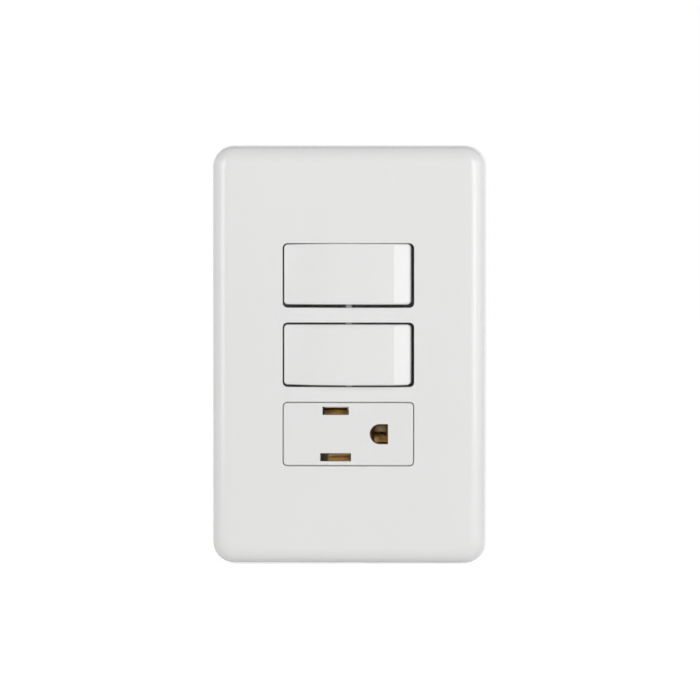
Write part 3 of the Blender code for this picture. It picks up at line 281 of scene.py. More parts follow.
def cut_across(bm, point, normal, geom=None, **settings):
    """Cuts all of a bmesh, or some of it, along a plane."""
    geom = geom or [*bm.verts, *bm.edges, *bm.faces]
    bmesh.ops.bisect_plane(bm, geom=geom, dist=ALIKE, plane_co=point, plane_no=normal, **settings)


def rounded_face(bm, width, height, corner, centre, level, segments):
    """One flat face with round corners that looks to the front."""
    place = Matrix.Translation((centre[0], level, centre[1])) @ TOWARDS_FRONT
    size = Matrix.Diagonal((width, height, 1.0, 1.0))
    grid = bmesh.ops.create_grid(bm, x_segments=1, y_segments=1, size=0.5, matrix=place @ size)["verts"]
    known = set(bm.faces) - faces_of(grid)
    rounded(bm, grid, corner, segments, affect="VERTICES")
    made = next(face for face in bm.faces if face not in known)
    made.normal_update()
    return made


def step_face(bm, face, inset, rise):
    """Insets a face and moves it along its normal, leaving a band of faces behind it."""
    if inset > 1e-9:
        bmesh.ops.inset_region(
            bm, faces=[face], thickness=inset, depth=rise, use_even_offset=True, use_boundary=True
        )
        return face
    raised = bmesh.ops.extrude_discrete_faces(bm, faces=[face])["faces"][0]
    bmesh.ops.translate(bm, verts=list(raised.verts), vec=raised.normal * rise)
    return raised


def open_face(bm, face):
    """Takes a face away and leaves its edges."""
    bmesh.ops.delete(bm, geom=[face], context="FACES_ONLY")


def fill_at(bm, level, normal):
    """Fills the flat area between the open loops at one depth."""
    border = [
        edge
        for edge in bm.edges
        if edge.is_boundary and all(abs(vert.co.y - level) < 2 * ALIKE for vert in edge.verts)
    ]
    bmesh.ops.triangle_fill(bm, use_beauty=True, edges=border, normal=normal)


def quarter_steps(radius, steps):
    """The parts of a quarter circle: how far each one sinks away and how far it runs along."""
    for step in range(steps):
        here, there = (math.pi / 2 * s / steps for s in (step, step + 1))
        yield radius * (math.cos(here) - math.cos(there)), radius * (math.sin(there) - math.sin(here))


def rounded_box(bm, x, y, z, edge=0.0):
    """A box between the low and high ends given for each axis, with all its edges rounded."""
    size = [high - low for low, high in (x, y, z)]
    middle = [(high + low) / 2 for low, high in (x, y, z)]
    place = Matrix.Translation(middle) @ Matrix.Diagonal((*size, 1.0))
    cube = bmesh.ops.create_cube(bm, size=1.0, matrix=place)
    if edge:
        edges = list({e for vert in cube["verts"] for e in vert.link_edges})
        rounded(bm, edges, edge, 2, clamp=True)


def edge_section(plate, depth, steps):
    """Section of the plate's edge from rim to face as insets and levels, at a depth under the skin."""
    start = -plate.depth + plate.edge_depth
    width = plate.edge_width - plate.draft
    points = [(depth, 0.0)]
    for step in range(steps + 1):
        turn = math.pi / 2 * step / steps
        normal = Vector((plate.edge_depth * math.cos(turn), width * math.sin(turn))).normalized()
        inset = plate.draft + width * (1 - math.cos(turn))
        level = start - plate.edge_depth * math.sin(turn)
        points.append((inset + depth * normal.x, level + depth * normal.y))
    return points


def plate_skin(bm, plate, section):
    """One skin of the plate, from its rim to its face, which is left open."""
    start, level = section[0]
    size = (plate.width - 2 * start, plate.height - 2 * start)
    face = rounded_face(bm, *size, plate.corner - start, (0.0, 0.0), level, 14)
    for before, after in zip(section, section[1:]):
        face = step_face(bm, face, after[0] - before[0], before[1] - after[1])
    last_band = 0.0003
    open_face(bm, step_face(bm, face, last_band, 0.0))


def hole_in_face(bm, outline, margin, edge, steps, depth):
    """Turns a flat face into the walls of a hole with a rounded rim, inside a margin."""
    face = step_face(bm, outline, margin, 0.0)
    for fall, inset in quarter_steps(edge, steps):
        face = step_face(bm, face, inset, -fall)
    open_face(bm, step_face(bm, face, 0.0, edge - depth))


def crown_face(bm, plate):
    """Lets the plate's face fall away a little towards its edges."""
    cuts = 6
    halves = (plate.width / 2 - plate.edge_width, plate.height / 2 - plate.edge_width)
    for axis, half in zip((Vector((1, 0, 0)), Vector((0, 0, 1))), halves):
        for step in range(cuts):
            place = half - plate.crown_width * (step + 0.5) / cuts
            for point in (axis * place, -axis * place):
                cut_across(bm, point, axis)
    for vert in bm.verts:
        flat = 1.0
        for place, half in zip((vert.co.x, vert.co.z), halves):
            ramp = (abs(place) - half) / plate.crown_width + 1
            flat *= 1 - min(max(ramp, 0.0), 1.0) ** 2
        vert.co.y *= 1 - plate.crown * (1 - flat) / plate.depth


def cut_pry_notch(bm, plate):
    """A notch in the back of the lower rim, through both skins, to lift the plate off with a blade."""
    half_width, depth, rim = 0.0040, 0.0010, 0.004
    limit = -plate.height / 2 + rim

    def low(element):
        return all(vert.co.z < limit for vert in getattr(element, "verts", [element]))

    for point, normal in (
        ((-half_width, 0, 0), (1, 0, 0)),
        ((half_width, 0, 0), (1, 0, 0)),
        ((0, -depth, 0), (0, 1, 0)),
    ):
        part = [e for group in (bm.verts, bm.edges, bm.faces) for e in group if low(e)]
        cut_across(bm, point, normal, geom=part)
    gone = []
    for face in bm.faces:
        middle = face.calc_center_median()
        if middle.z < limit and abs(middle.x) < half_width and middle.y > -depth:
            gone.append(face)
    bmesh.ops.delete(bm, geom=gone, context="FACES")
    border = [edge for edge in bm.edges if edge.is_boundary and low(edge)]
    sides = [edge for edge in border if min(vert.co.y for vert in edge.verts) < -1e-6]
    bmesh.ops.bridge_loops(bm, edges=sides)


def plate_hook(bm, plate, side, z):
    """A snap arm behind the plate's side wall, whose barb catches the carrier."""
    thickness, half_width = 0.0013, 0.0035
    barb_radius, barb_level, barb_back, catch = 0.0011, -0.00075, -0.0004, 0.0009
    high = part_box("plate_carrier")[1]
    inner = high.x + PLAY
    root = -plate.depth + plate.wall / 2
    across = sorted((side * inner, side * (inner + thickness)))
    rounded_box(bm, across, (root, -PLAY), (z - half_width, z + half_width), SOFT_EDGE)
    place = Matrix.Translation((side * (inner + 0.0001), barb_level, z))
    for vert in bar(bm, 3, barb_radius, 2 * (half_width - SOFT_EDGE), place):
        vert.co.x = side * max(side * vert.co.x, inner - catch)
        vert.co.y = min(max(vert.co.y, high.y + PLAY), barb_back)


class SWITCH_SOCKET_OT_cover_plate(bpy.types.Operator):
    """Build the cover plate with its soft edge, three windows, ribs and snap arms"""

    bl_idname = "switch_socket.cover_plate"
    bl_label = "Cover Plate"

    def execute(self, context):
        plate = context.scene.switch_socket.plate
        bm = bmesh.new()
        plate_skin(bm, plate, edge_section(plate, 0.0, 14))
        plate_skin(bm, plate, edge_section(plate, plate.wall, 10))
        cut_pry_notch(bm, plate)
        fill_at(bm, 0.0, (0, 1, 0))
        margin = 0.0003
        grown = plate.window_edge + margin
        window = (plate.window_length + 2 * grown, plate.window_height + 2 * grown)
        for name in (*SWITCHES, "socket"):
            centre = (0.0, module_level(name))
            outline = rounded_face(bm, *window, plate.window_corner + grown, centre, -plate.depth, 8)
            hole_in_face(bm, outline, margin, plate.window_edge, 4, plate.wall)
        fill_at(bm, -plate.depth, (0, -1, 0))
        fill_at(bm, plate.wall - plate.depth, (0, 1, 0))
        crown_face(bm, plate)
        half_rib, hook_place = 0.0006, 0.030
        rib_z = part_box("box_screw_upper")[1].z + 4 * half_rib
        rib = (-plate.depth + plate.wall / 2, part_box("plate_carrier")[0].y - PLAY)
        reach = plate.width * 0.42
        for side in (-1, 1):
            ends = (side * rib_z - half_rib, side * rib_z + half_rib)
            rounded_box(bm, (-reach, reach), rib, ends, SOFT_EDGE)
            for end in (-1, 1):
                plate_hook(bm, plate, side, end * hook_place)
        finished_piece("wall_plate", bm, "cover_plate")
        return {"FINISHED"}


def turned_about(x, y, angle):
    return (x * math.cos(angle) - y * math.sin(angle), x * math.sin(angle) + y * math.cos(angle))


def rocker_line(plate, rocker):
    """The face of the level rocker as points from its left end to its right."""
    half = plate.window_length / 2 - rocker.end_gap
    tilt, curve, facet = (math.radians(a) for a in (rocker.tilt, rocker.curve, rocker.facet))
    crest = -(rocker.axis_depth + rocker.crest)
    radius = (half - rocker.straight_run) / math.sin(curve)
    drawn = []
    steps = 24
    for step in range(steps + 1):
        turn = curve * (steps - step) / steps
        drawn.append((-radius * math.sin(turn), crest + radius * (1 - math.cos(turn))))
    drawn.append((half - rocker.facet_run, crest))
    line = [turned_about(x, y, tilt) for x, y in drawn]
    left_slope, right_slope = math.tan(tilt - curve), math.tan(tilt + facet)
    left = (-half, line[0][1] + (-half - line[0][0]) * left_slope)
    right = (half, line[-1][1] + (half - line[-1][0]) * right_slope)
    return [left, *line, right]


def level_on(line, x):
    """Height of a line of points at a place along it."""
    for (x0, y0), (x1, y1) in zip(line, line[1:]):
        if x <= x1 + 1e-9:
            return y0 + (y1 - y0) * (x - x0) / (x1 - x0)
    return line[-1][1]


def rocker_cap(bm, plate, rocker, leaning):
    """The rocker's cap as an open skin: a block cut across, raised to the face's line and rounded."""
    line = rocker_line(plate, rocker)
    half = line[-1][0]
    half_height = plate.window_height / 2 - rocker.side_gap
    flat_layer = bm.faces.layers.int.new("flat")
    rounded_box(bm, (-half, half), (-rocker.skirt * 2, rocker.skirt), (-half_height, half_height))
    for x, _ in line[1:-1]:
        cut_across(bm, (x, 0, 0), (1, 0, 0))
    for vert in bm.verts:
        if vert.co.y < 0:
            vert.co.y = level_on(line, vert.co.x)
            proud = -vert.co.y - rocker.axis_depth + vert.co.x * math.tan(math.radians(rocker.tilt))
            if vert.co.z * leaning > 0:
                vert.co.z += leaning * rocker.flare * max(proud, 0.0)
    back = [face for face in bm.faces if face.normal.y > 0.9 and face.calc_center_median().y > 0]
    bmesh.ops.delete(bm, geom=back, context="FACES")
    bm.normal_update()

    def at_corner(vert):
        return abs(abs(vert.co.x) - half) < ALIKE and abs(vert.co.z) > half_height - ALIKE

    def to_front(face):
        return face.normal.y < -0.8

    upright = []
    for edge in bm.edges:
        one, other = edge.verts
        if at_corner(one) and at_corner(other) and abs(one.co.y - other.co.y) > 1e-4:
            upright.append(edge)
    rounded(bm, upright, rocker.corner, 8)
    bm.normal_update()
    border = [edge for edge in bm.edges if sorted(map(to_front, edge.link_faces)) == [False, True]]
    rounded(bm, border, rocker.edge, 6)
    bm.normal_update()
    for face in bm.faces:
        on_facet = face.calc_center_median().x > line[-2][0] and to_front(face)
        face[flat_layer] = int(on_facet and face.calc_area() > 2e-5)


def round_bar(bm, radius, start, end, direction, bore=0.0, bore_depth=0.0):
    """A bar from start to end along a direction, with a blind bore in its far end if one is given."""
    direction = Vector(direction)
    place = facing(direction) @ Matrix.Translation((0, 0, (start + end) / 2))
    made = bar(bm, 32, radius, end - start, place)
    if bore:
        far = max(faces_of(made), key=lambda face: face.calc_center_median().dot(direction))
        step_face(bm, far, radius - bore, 0.0)
        step_face(bm, far, 0.0, -bore_depth)


def rocker_inside(bm, plate, rocker):
    """What is under the cap: the bored stem, the shaft with its trunnions and three ribs."""
    under = -(rocker.axis_depth + rocker.crest) + rocker.wall * 1.4
    half_height = plate.window_height / 2 - rocker.side_gap
    stem = (rocker.stem, under, rocker.stem_end)
    round_bar(bm, *stem, (0, 1, 0), bore=rocker.bore, bore_depth=rocker.bore_depth)
    reach = half_height + rocker.trunnion
    round_bar(bm, rocker.shaft, -reach, reach, (0, 0, 1))
    inner = half_height - rocker.wall + PLAY
    for side in (-1, 0, 1):
        middle = side * rocker.rib_place
        across = (middle - rocker.rib / 2, middle + rocker.rib / 2)
        depth = (under + abs(side) * rocker.wall / 2, rocker.skirt - 0.0010)
        rounded_box(bm, across, depth, (-inner, inner))


def rocker_place(name, rocker):
    """Where the level rocker's frame lies at rest: on its hinge, turned to its pressed side."""
    pivot = Vector(JOINTS[f"{name}_rocker_hinge"]["pos_m"])
    return Matrix.Translation(pivot) @ Matrix.Rotation(-math.radians(rocker.tilt), 4, "Z")


class SWITCH_SOCKET_OT_rockers(bpy.types.Operator):
    """Build the two rockers: a hollow cap with a curved face, a shaft and a bored stem"""

    bl_idname = "switch_socket.rockers"
    bl_label = "Rockers"

    def execute(self, context):
        settings = context.scene.switch_socket
        plate, rocker = settings.plate, settings.rocker
        seats = (("upper", rocker.upper_seat, 1), ("middle", rocker.middle_seat, -1))
        for name, seat, leaning in seats:
            bm = bmesh.new()
            rocker_cap(bm, plate, rocker, leaning)
            bmesh.ops.translate(bm, verts=bm.verts, vec=(0, 0, seat))
            bmesh.ops.recalc_face_normals(bm, faces=bm.faces)
            bmesh.ops.solidify(bm, geom=list(bm.faces), thickness=rocker.wall)
            rocker_inside(bm, plate, rocker)
            bmesh.ops.transform(bm, matrix=rocker_place(name, rocker), verts=bm.verts)
            body = f"{name}_rocker_unit"
            finished_piece(f"{name}_rocker_cap", bm, f"{name}_rocker", body)
        return {"FINISHED"}


def earth_outline(bm, socket, centre, level, grown):
    """A face that is half round at the left and square at the right."""
    place = Matrix.Translation((centre[0], level, centre[1])) @ TOWARDS_FRONT
    made = disc(bm, 64, socket.earth_radius + grown, place)
    faces = faces_of(made)
    geom = [*made, *{e for f in faces for e in f.edges}, *faces]
    cut_across(bm, (centre[0], 0, 0), (1, 0, 0), geom=geom, clear_outer=True)
    half = next(vert for vert in made if vert.is_valid).link_faces[0]
    straight = max(half.edges, key=lambda edge: edge.calc_length())
    moved = bmesh.ops.extrude_edge_only(bm, edges=[straight])["geom"]
    verts = [element for element in moved if isinstance(element, bmesh.types.BMVert)]
    bmesh.ops.translate(bm, verts=verts, vec=(socket.earth_flat + grown, 0, 0))
    both = list(straight.link_faces)
    bmesh.ops.recalc_face_normals(bm, faces=both)
    outline = bmesh.ops.dissolve_faces(bm, faces=both)["region"][0]
    outline.normal_update()
    if outline.normal.y > 0:
        outline.normal_flip()
    return outline


def join(bm, part):
    """Moves a finished part's faces into another bmesh."""
    mesh = new_mesh("part", part)
    bm.from_mesh(mesh)
    bpy.data.meshes.remove(mesh)


def softened(node, width):
    """A bmesh of a node's mesh with its flat faces merged and its sharp edges rounded."""
    flat, sharp = math.radians(0.5), math.radians(32)
    part = bmesh.new()
    flat_layer = part.faces.layers.int.new("flat")
    part.from_mesh(NODES[node].data)
    part.transform(NODES[node].matrix_world)
    bmesh.ops.remove_doubles(part, verts=part.verts, dist=2e-6)
    bmesh.ops.dissolve_limit(part, angle_limit=flat, verts=part.verts, edges=part.edges)
    edges = [edge for edge in part.edges if edge.is_manifold and edge.calc_face_angle(0.0) > sharp]
    soft = set(rounded(part, edges, width, 2, clamp=True))
    for face in part.faces:
        beside = [e for e in face.edges if e.is_manifold and not soft.intersection(e.link_faces)]
        curved = any(flat < e.calc_face_angle() < sharp for e in beside)
        face[flat_layer] = int(face not in soft and not curved)
    return part


def socket_shell(bm, plate, socket, z, depth):
    """The socket's face with its slots and its earth hole, as a closed block of the given depth."""
    front = -plate.depth
    width = plate.window_length - 2 * socket.gap
    height = plate.window_height - 2 * socket.gap
    corner = plate.window_corner - socket.gap
    face = rounded_face(bm, width, height, corner, (0.0, z), front + depth, 8)
    face = step_face(bm, face, 0.0, depth - socket.rounding)
    for inset, rise in quarter_steps(socket.rounding, 4):
        face = step_face(bm, face, inset, rise)
    last_band, slot_corner = 0.0002, 0.00008
    open_face(bm, step_face(bm, face, last_band, 0.0))
    grown = 2 * socket.edge
    holes = [earth_outline(bm, socket, (socket.earth_x, z), front, grown)]
    for slot_length, side in ((socket.live_slot, 1), (socket.neutral_slot, -1)):
        centre = (socket.blade_x, z + side * socket.blade_spacing / 2)
        size = (slot_length + 2 * grown, socket.slot_height + 2 * grown)
        holes.append(rounded_face(bm, *size, grown + slot_corner, centre, front, 3))
    for outline in holes:
        hole_in_face(bm, outline, socket.edge, socket.edge, 3, depth)
    fill_at(bm, front, (0, -1, 0))
    fill_at(bm, front + depth, (0, 1, 0))


def socket_body(plate, socket, z, level):
    """The module's body behind a level, with room for the sleeve in its earth hole."""
    body = softened("socket_face", 0.0001)
    cut_across(body, (0, level, 0), (0, -1, 0), clear_outer=True)
    reach = socket.earth_radius + PLAY
    back = -plate.depth + socket.wall + 0.0002
    wider = 1.22
    walls = []
    for vert in body.verts:
        x, y, height = vert.co
        if abs(x - socket.earth_x) < reach and abs(height - z) < reach and y < back:
            walls.append(vert)
    about = Matrix.Translation((-socket.earth_x, 0, -z))
    bmesh.ops.scale(body, verts=walls, vec=(wider, 1, wider), space=about)
    fill_at(body, level, (0, -1, 0))
    return body


class SWITCH_SOCKET_OT_socket_face(bpy.types.Operator):
    """Build the socket's face with its two slots and earth hole, in front of the module's body"""

    bl_idname = "switch_socket.socket_face"
    bl_label = "Socket Face"

    def execute(self, context):
        settings = context.scene.switch_socket
        plate, socket = settings.plate, settings.socket
        z = module_level("socket")
        depth, overlap = plate.wall + 0.00025, 0.00005
        bm = bmesh.new()
        socket_shell(bm, plate, socket, z, depth)
        join(bm, socket_body(plate, socket, z, depth - plate.depth - overlap))
        finished_piece("socket_front", bm, "socket_face")
        return {"FINISHED"}


def bent_strip(bm, line, x, thickness):
    """A strip of sheet bent along a line of (y, z) points, between two ends along X."""
    made = bmesh.ops.create_grid(bm, x_segments=1, y_segments=len(line) - 1, size=0.5)["verts"]
    faces = list(faces_of(made))
    for vert in made:
        row = round((vert.co.y + 0.5) * (len(line) - 1))
        vert.co = (x[0] if vert.co.x < 0 else x[1], *line[row])
    bmesh.ops.recalc_face_normals(bm, faces=faces)
    thick = bmesh.ops.solidify(bm, geom=faces, thickness=thickness)["geom"]
    faces = {element for element in thick if isinstance(element, bmesh.types.BMFace)} | set(faces)
    faces |= faces_of(made)
    bmesh.ops.recalc_face_normals(bm, faces=list(faces))
    nearly_square, rounding = math.radians(60), 0.0001
    edges = {edge for face in faces for edge in face.edges if edge.is_manifold}
    rim = [edge for edge in edges if edge.calc_face_angle(0.0) > nearly_square]
    rounded(bm, rim, rounding, 2)


def jaw_line(mouth, throat, back, z, side):
    """A leaf's line: a lip that curls in from the mouth to the throat and runs straight to the back."""
    steps = 9
    (mouth_y, mouth_z), (throat_y, throat_z) = mouth, throat
    line = []
    for step in range(steps + 1):
        turn = math.pi / 2 * step / steps
        curl = (1 - math.sin(turn)) ** 0.8 * math.cos(turn) ** 0.4
        out = throat_z + (mouth_z - throat_z) * curl
        line.append((mouth_y + (throat_y - mouth_y) * math.sin(turn), z + side * out))
    line.append((back, z + side * throat_z))
    return line


def earth_sleeve(bm, socket, mouth, middle):
    """The earth pin's sleeve: a flared half-round tube with a spring tongue below."""
    tube, sheet = 0.0090, 0.0002
    sleeve = bmesh.new()
    face = earth_outline(sleeve, socket, (socket.earth_x, middle), mouth, PLAY)
    flare = ((0.0002, 0.0001), (0.0003, 0.0004), (0.00025, 0.0007), (0.0001, 0.0009))
    for inset, fall in (*flare, (0.0, tube)):
        face = step_face(sleeve, face, inset, -fall)
    open_face(sleeve, face)
    bmesh.ops.recalc_face_normals(sleeve, faces=sleeve.faces)
    bmesh.ops.solidify(sleeve, geom=list(sleeve.faces), thickness=-sheet)
    join(bm, sleeve)
    steps, start, run, low, rise = 8, 0.0008, 0.0030, -0.0023, 0.0024
    tongue = []
    for share in (step / steps for step in range(steps + 1)):
        height = low + rise * math.sin(share * math.pi / 2)
        tongue.append((mouth + start + run * share, middle + height))
    bent_strip(bm, tongue, (socket.earth_x - 0.0017, socket.earth_x + 0.0020), socket.leaf)


class SWITCH_SOCKET_OT_contacts(bpy.types.Operator):
    """Build the socket's brass contacts: blade jaws with curled lips, and the earth pin's sleeve"""

    bl_idname = "switch_socket.contacts"
    bl_label = "Contacts"

    def execute(self, context):
        settings = context.scene.switch_socket
        plate, socket = settings.plate, settings.socket
        middle = module_level("socket")
        mouth = -plate.depth + socket.mouth
        throat, web_level, back = mouth + 0.0010, mouth + 0.0034, mouth + 0.0040
        half_web, rounding = 0.00125, 0.00012
        # For each blade: its side, both leaves' heights at mouth and throat, and the ends along X.
        jaws = {
            "live": (1, (0.00107, 0.00100), (0.00107, 0.00008), (-0.0066, -0.0001)),
            "neutral": (-1, (0.00107, 0.00040), (0.00107, 0.00035), (-0.0057, 0.0006)),
        }
        for name, (side, upper, lower, ends) in jaws.items():
            bm = softened(f"{name}_contact", rounding)
            z = middle + side * socket.blade_spacing / 2
            for leaf, (outer, inner) in ((1, upper), (-1, lower)):
                line = jaw_line((mouth, outer), (throat, inner), back, z, leaf)
                bent_strip(bm, line, ends, -socket.leaf * leaf)
            web = [(web_level, z + half_web), (web_level, z - half_web)]
            bent_strip(bm, web, (ends[1] - 0.0003, ends[1] + 0.0006), socket.leaf)
            finished_piece(f"{name}_contact_strip", bm, f"{name}_contact")
        bm = softened("earth_contact", rounding)
        earth_sleeve(bm, socket, mouth, middle)
        finished_piece("earth_contact_strip", bm, "earth_contact")
        return {"FINISHED"}


def wind(bm, face, centre, axis, travel, turns, steps):
    """Winds a section round an axis, moving it along by a travel for each turn."""
    bmesh.ops.spin(
        bm,
        geom=[*face.verts, *face.edges, face],
        cent=centre,
        axis=axis,
        dvec=travel / steps,
        angle=2 * math.pi * turns,
        steps=round(turns * steps),
        use_merge=False,
    )


def wind_thread(bm, foot, direction, radius, start, end):
    """A thread's ridge, wound round a shank between two distances from the foot."""
    pitch, height, sunk, share = 0.0008, 0.00014, 0.00005, 0.7
    place = Matrix.Translation(foot) @ facing(direction)
    rise, run = height + sunk, share * pitch
    place @= Matrix.Translation((radius - sunk + rise / 3, 0, start + run / 2))
    place @= Matrix(((0, 1, 0), (0, 0, 1), (1, 0, 0))).to_4x4()
    place @= Matrix.Diagonal((run / math.sqrt(3), rise / 1.5, 1, 1))
    turns = (end - start) / pitch - share
    wind(bm, disc(bm, 3, 1.0, place)[0].link_faces[0], foot, direction, direction * pitch, turns, 16)


def wind_wire(bm, spring):
    """A round wire wound round the Y axis, with its two ends cut flat."""
    start, end = spring.seat + spring.wire, spring.end - spring.wire
    place = Matrix.Translation((spring.radius, start, 0))
    section = disc(bm, 12, spring.wire, place)[0].link_faces[0]
    travel = Vector((0, (end - start) / spring.turns, 0))
    wind(bm, section, (0, 0, 0), (0, -1, 0), travel, spring.turns, 24)


class SWITCH_SOCKET_OT_springs(bpy.types.Operator):
    """Wind the two plunger springs, as fixed coils that ride on their rockers"""

    bl_idname = "switch_socket.springs"
    bl_label = "Springs"

    def execute(self, context):
        settings = context.scene.switch_socket
        spring = settings.spring
        for name in SWITCHES:
            bm = bmesh.new()
            wind_wire(bm, spring)
            place = rocker_place(name, settings.rocker)
            bmesh.ops.transform(bm, matrix=place, verts=bm.verts)
            node, body = f"{name}_plunger_spring", f"{name}_rocker_unit"
            coil = finished_piece(f"{name}_coil_spring", bm, node, body)
            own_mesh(coil)
        return {"FINISHED"}


def centre_of(node):
    low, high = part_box(node)
    return (low + high) / 2


def screw_axis(node):
    """The direction in which a screw goes in: towards the wall, or from a module's side."""
    if node.startswith(("box", "carrier")):
        return Vector((0, 1, 0))
    return Vector((-math.copysign(1.0, centre_of(node).x), 0, 0))


class SWITCH_SOCKET_OT_screws(bpy.types.Operator):
    """Build the screws with their slotted heads and wound threads"""

    bl_idname = "switch_socket.screws"
    bl_label = "Screws"

    def execute(self, context):
        # Radius of the shank and height of the head, by the first word of the screw's name.
        sizes = {"box": (0.00175, 0.0024), "carrier": (0.0015, 0.0018)}
        under_head, rounding = 0.0006, 0.00008
        for node in [name for name in NODES if "screw" in name]:
            low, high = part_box(node)
            inward = screw_axis(node)
            long = abs((high - low).dot(inward))
            foot = centre_of(node) - inward * long / 2
            radius, head = sizes.get(node.partition("_")[0], (0.0016, 0.0018))
            bm = softened(node, rounding)
            wind_thread(bm, foot, inward, radius, head + under_head, long - radius / 2)
            finished_piece(f"threaded_{node}", bm, node)
        return {"FINISHED"}


class SWITCH_SOCKET_OT_housings(bpy.types.Operator):
    """Build the rear housings, switch bodies, carrier, frame and small moving parts with soft edges"""

    bl_idname = "switch_socket.housings"
    bl_label = "Housings"

    def execute(self, context):
        # The end of a node's name, its piece, slot and body, and the width of its rounding.
        copies = (
            ("_base", "rear_housing_{first}", "base_grey", "wall_unit", 0.0002),
            ("plate_carrier", "snap_carrier", "carrier_white", "wall_unit", 0.0002),
            ("mounting_frame", "steel_frame", "galvanised_steel", "wall_unit", 0.00015),
            ("_switch_cover", "{first}_switch_body", "module_white", "wall_unit", 0.00015),
            ("_terminal", "{node}_strip", "contact_brass", "wall_unit", 0.0001),
            ("_lever", "{node}_strip", "contact_brass", "{first}_lever_unit", 0.0001),
            ("_plunger", "{node}_pin", "plunger_black", "{first}_plunger_unit", 0.0001),
        )
        for ending, piece, slot, body, width in copies:
            for node in [name for name in NODES if name.endswith(ending)]:
                words = {"node": node, "first": node.partition("_")[0]}
                bm = softened(node, width)
                finished_piece(piece.format(**words), bm, node, body.format(**words))
        return {"FINISHED"}


def feed(tree, node, values):
    """Gives a node's inputs their values: an output is joined, and a node stands for its first one."""
    for key, value in values.items():
        if isinstance(value, bpy.types.Node):
            value = value.outputs[0]
        if isinstance(value, bpy.types.NodeSocket):
            tree.links.new(value, node.inputs[key])
        else:
            node.inputs[key].default_value = value


def add(tree, kind, values=None, **settings):
    """A node with its settings and what its inputs take."""
    node = tree.nodes.new("ShaderNode" + kind)
    for key, value in settings.items():
        setattr(node, key, value)
    feed(tree, node, values or {})
    return node


def noise(tree, where, scale, detail, **values):
    return add(tree, "TexNoise", {"Vector": where, "Scale": scale, "Detail": detail, **values})


def between(tree, value, low, high):
    """A value from 0 to 1, led to a range."""
    return add(tree, "MapRange", {"Value": value, "To Min": low, "To Max": high})


def calculate(tree, operation, *values):
    return add(tree, "Math", dict(enumerate(values)), operation=operation)


def moulding_grain():
    """Faint waves and pits of a moulded surface, as a height, a tint and a roughness change."""
    name = "Moulding grain"
    if name in bpy.data.node_groups:
        return bpy.data.node_groups[name]
    group = bpy.data.node_groups.new(name, "ShaderNodeTree")
    sockets = (
        ("INPUT", "NodeSocketVector", ("Coordinates",)),
        ("INPUT", "NodeSocketColor", ("Colour",)),
        ("INPUT", "NodeSocketFloat", ("Wave", "Pit", "Pit share", "Tint", "Roughness", "Spread")),
        ("OUTPUT", "NodeSocketColor", ("Colour",)),
        ("OUTPUT", "NodeSocketFloat", ("Roughness", "Height")),
    )
    for side, kind, labels in sockets:
        for label in labels:
            group.interface.new_socket(name=label, in_out=side, socket_type=kind)
    given = group.nodes.new("NodeGroupInput").outputs
    where = given["Coordinates"]
    wave = noise(group, where, given["Wave"], 2.0, Roughness=0.4)
    pit = noise(group, where, given["Pit"], 3.0, Roughness=0.6)
    flow = noise(group, where, 45.0, 2.0, Distortion=0.6)
    mix = add(group, "Mix", {"Factor": given["Pit share"], "A": wave, "B": pit}, data_type="FLOAT")
    centred = calculate(group, "SUBTRACT", flow, 0.5)
    bright = calculate(group, "MULTIPLY_ADD", centred, given["Tint"], 1.0)
    shade = add(group, "VectorMath", {0: given["Colour"], "Scale": bright}, operation="SCALE")
    spread = calculate(group, "MULTIPLY_ADD", centred, given["Spread"], given["Roughness"])
    result = group.nodes.new("NodeGroupOutput")
    feed(group, result, {"Colour": shade, "Roughness": spread, "Height": mix})
    return group


def made_once(build):
    """Builds a finish only the first time that its name is asked for."""

    def found_or_built(name, *values):
        return bpy.data.materials.get(name) or build(name, *values)

    return found_or_built


def new_material(name, **values):
    """A material and its shader, with values for the shader's inputs."""
    made = bpy.data.materials.new(name)
    made.use_nodes = True
    tree = made.node_tree
    shader = tree.nodes["Principled BSDF"]
    feed(tree, shader, {label.replace("_", " "): value for label, value in values.items()})
    return made, tree, shader


def new_finish(name, **values):
    """A material, its shader and its object coordinates, ready for the detail between them."""
    made, tree, shader = new_material(name, **values)
    return made, tree, shader, add(tree, "TexCoord").outputs["Object"]


def dress(tree, shader, colour, roughness, height, depth):
    """Leads a colour, a roughness and, through a bump of some depth, a height to a shader."""
    bump = add(tree, "Bump", {"Strength": 1.0, "Distance": depth, "Height": height})
    feed(tree, shader, {"Base Color": colour, "Roughness": roughness, "Normal": bump})


def tones(tree, factor, base, first, second):
    """The output of a mix of two tones of one colour, each given as factors."""
    mix = add(tree, "Mix", {"Factor": factor}, data_type="RGBA")
    for label, factors in (("A", first), ("B", second)):
        tone = [min(1.0, value * share) for value, share in zip(base, factors)]
        mix.inputs[label].default_value = (*tone, 1.0)
    return mix.outputs["Result"]


def grained(tree, shader, where, depth, values):
    """Moulding grain on a shader: its colour, roughness and bump."""
    grain = add(tree, "Group", node_tree=moulding_grain())
    feed(tree, grain, {"Coordinates": where, **values})
    outputs = grain.outputs
    dress(tree, shader, outputs["Colour"], outputs["Roughness"], outputs["Height"], depth)


@made_once
def gloss_plastic(name, base, roughness, gloss):
    """Smooth moulded plastic: a faint orange peel, and flow marks in its colour and gloss."""
    made, *parts = new_finish(name, IOR=1.5, Coat_Weight=0.25 * gloss, Coat_Roughness=0.06)
    peel = {"Wave": 420.0, "Pit": 5200.0, "Pit share": 0.06, "Tint": 0.02, "Spread": 0.06}
    grained(*parts, 0.000012, {"Colour": (*base, 1.0), "Roughness": roughness, **peel})
    return made


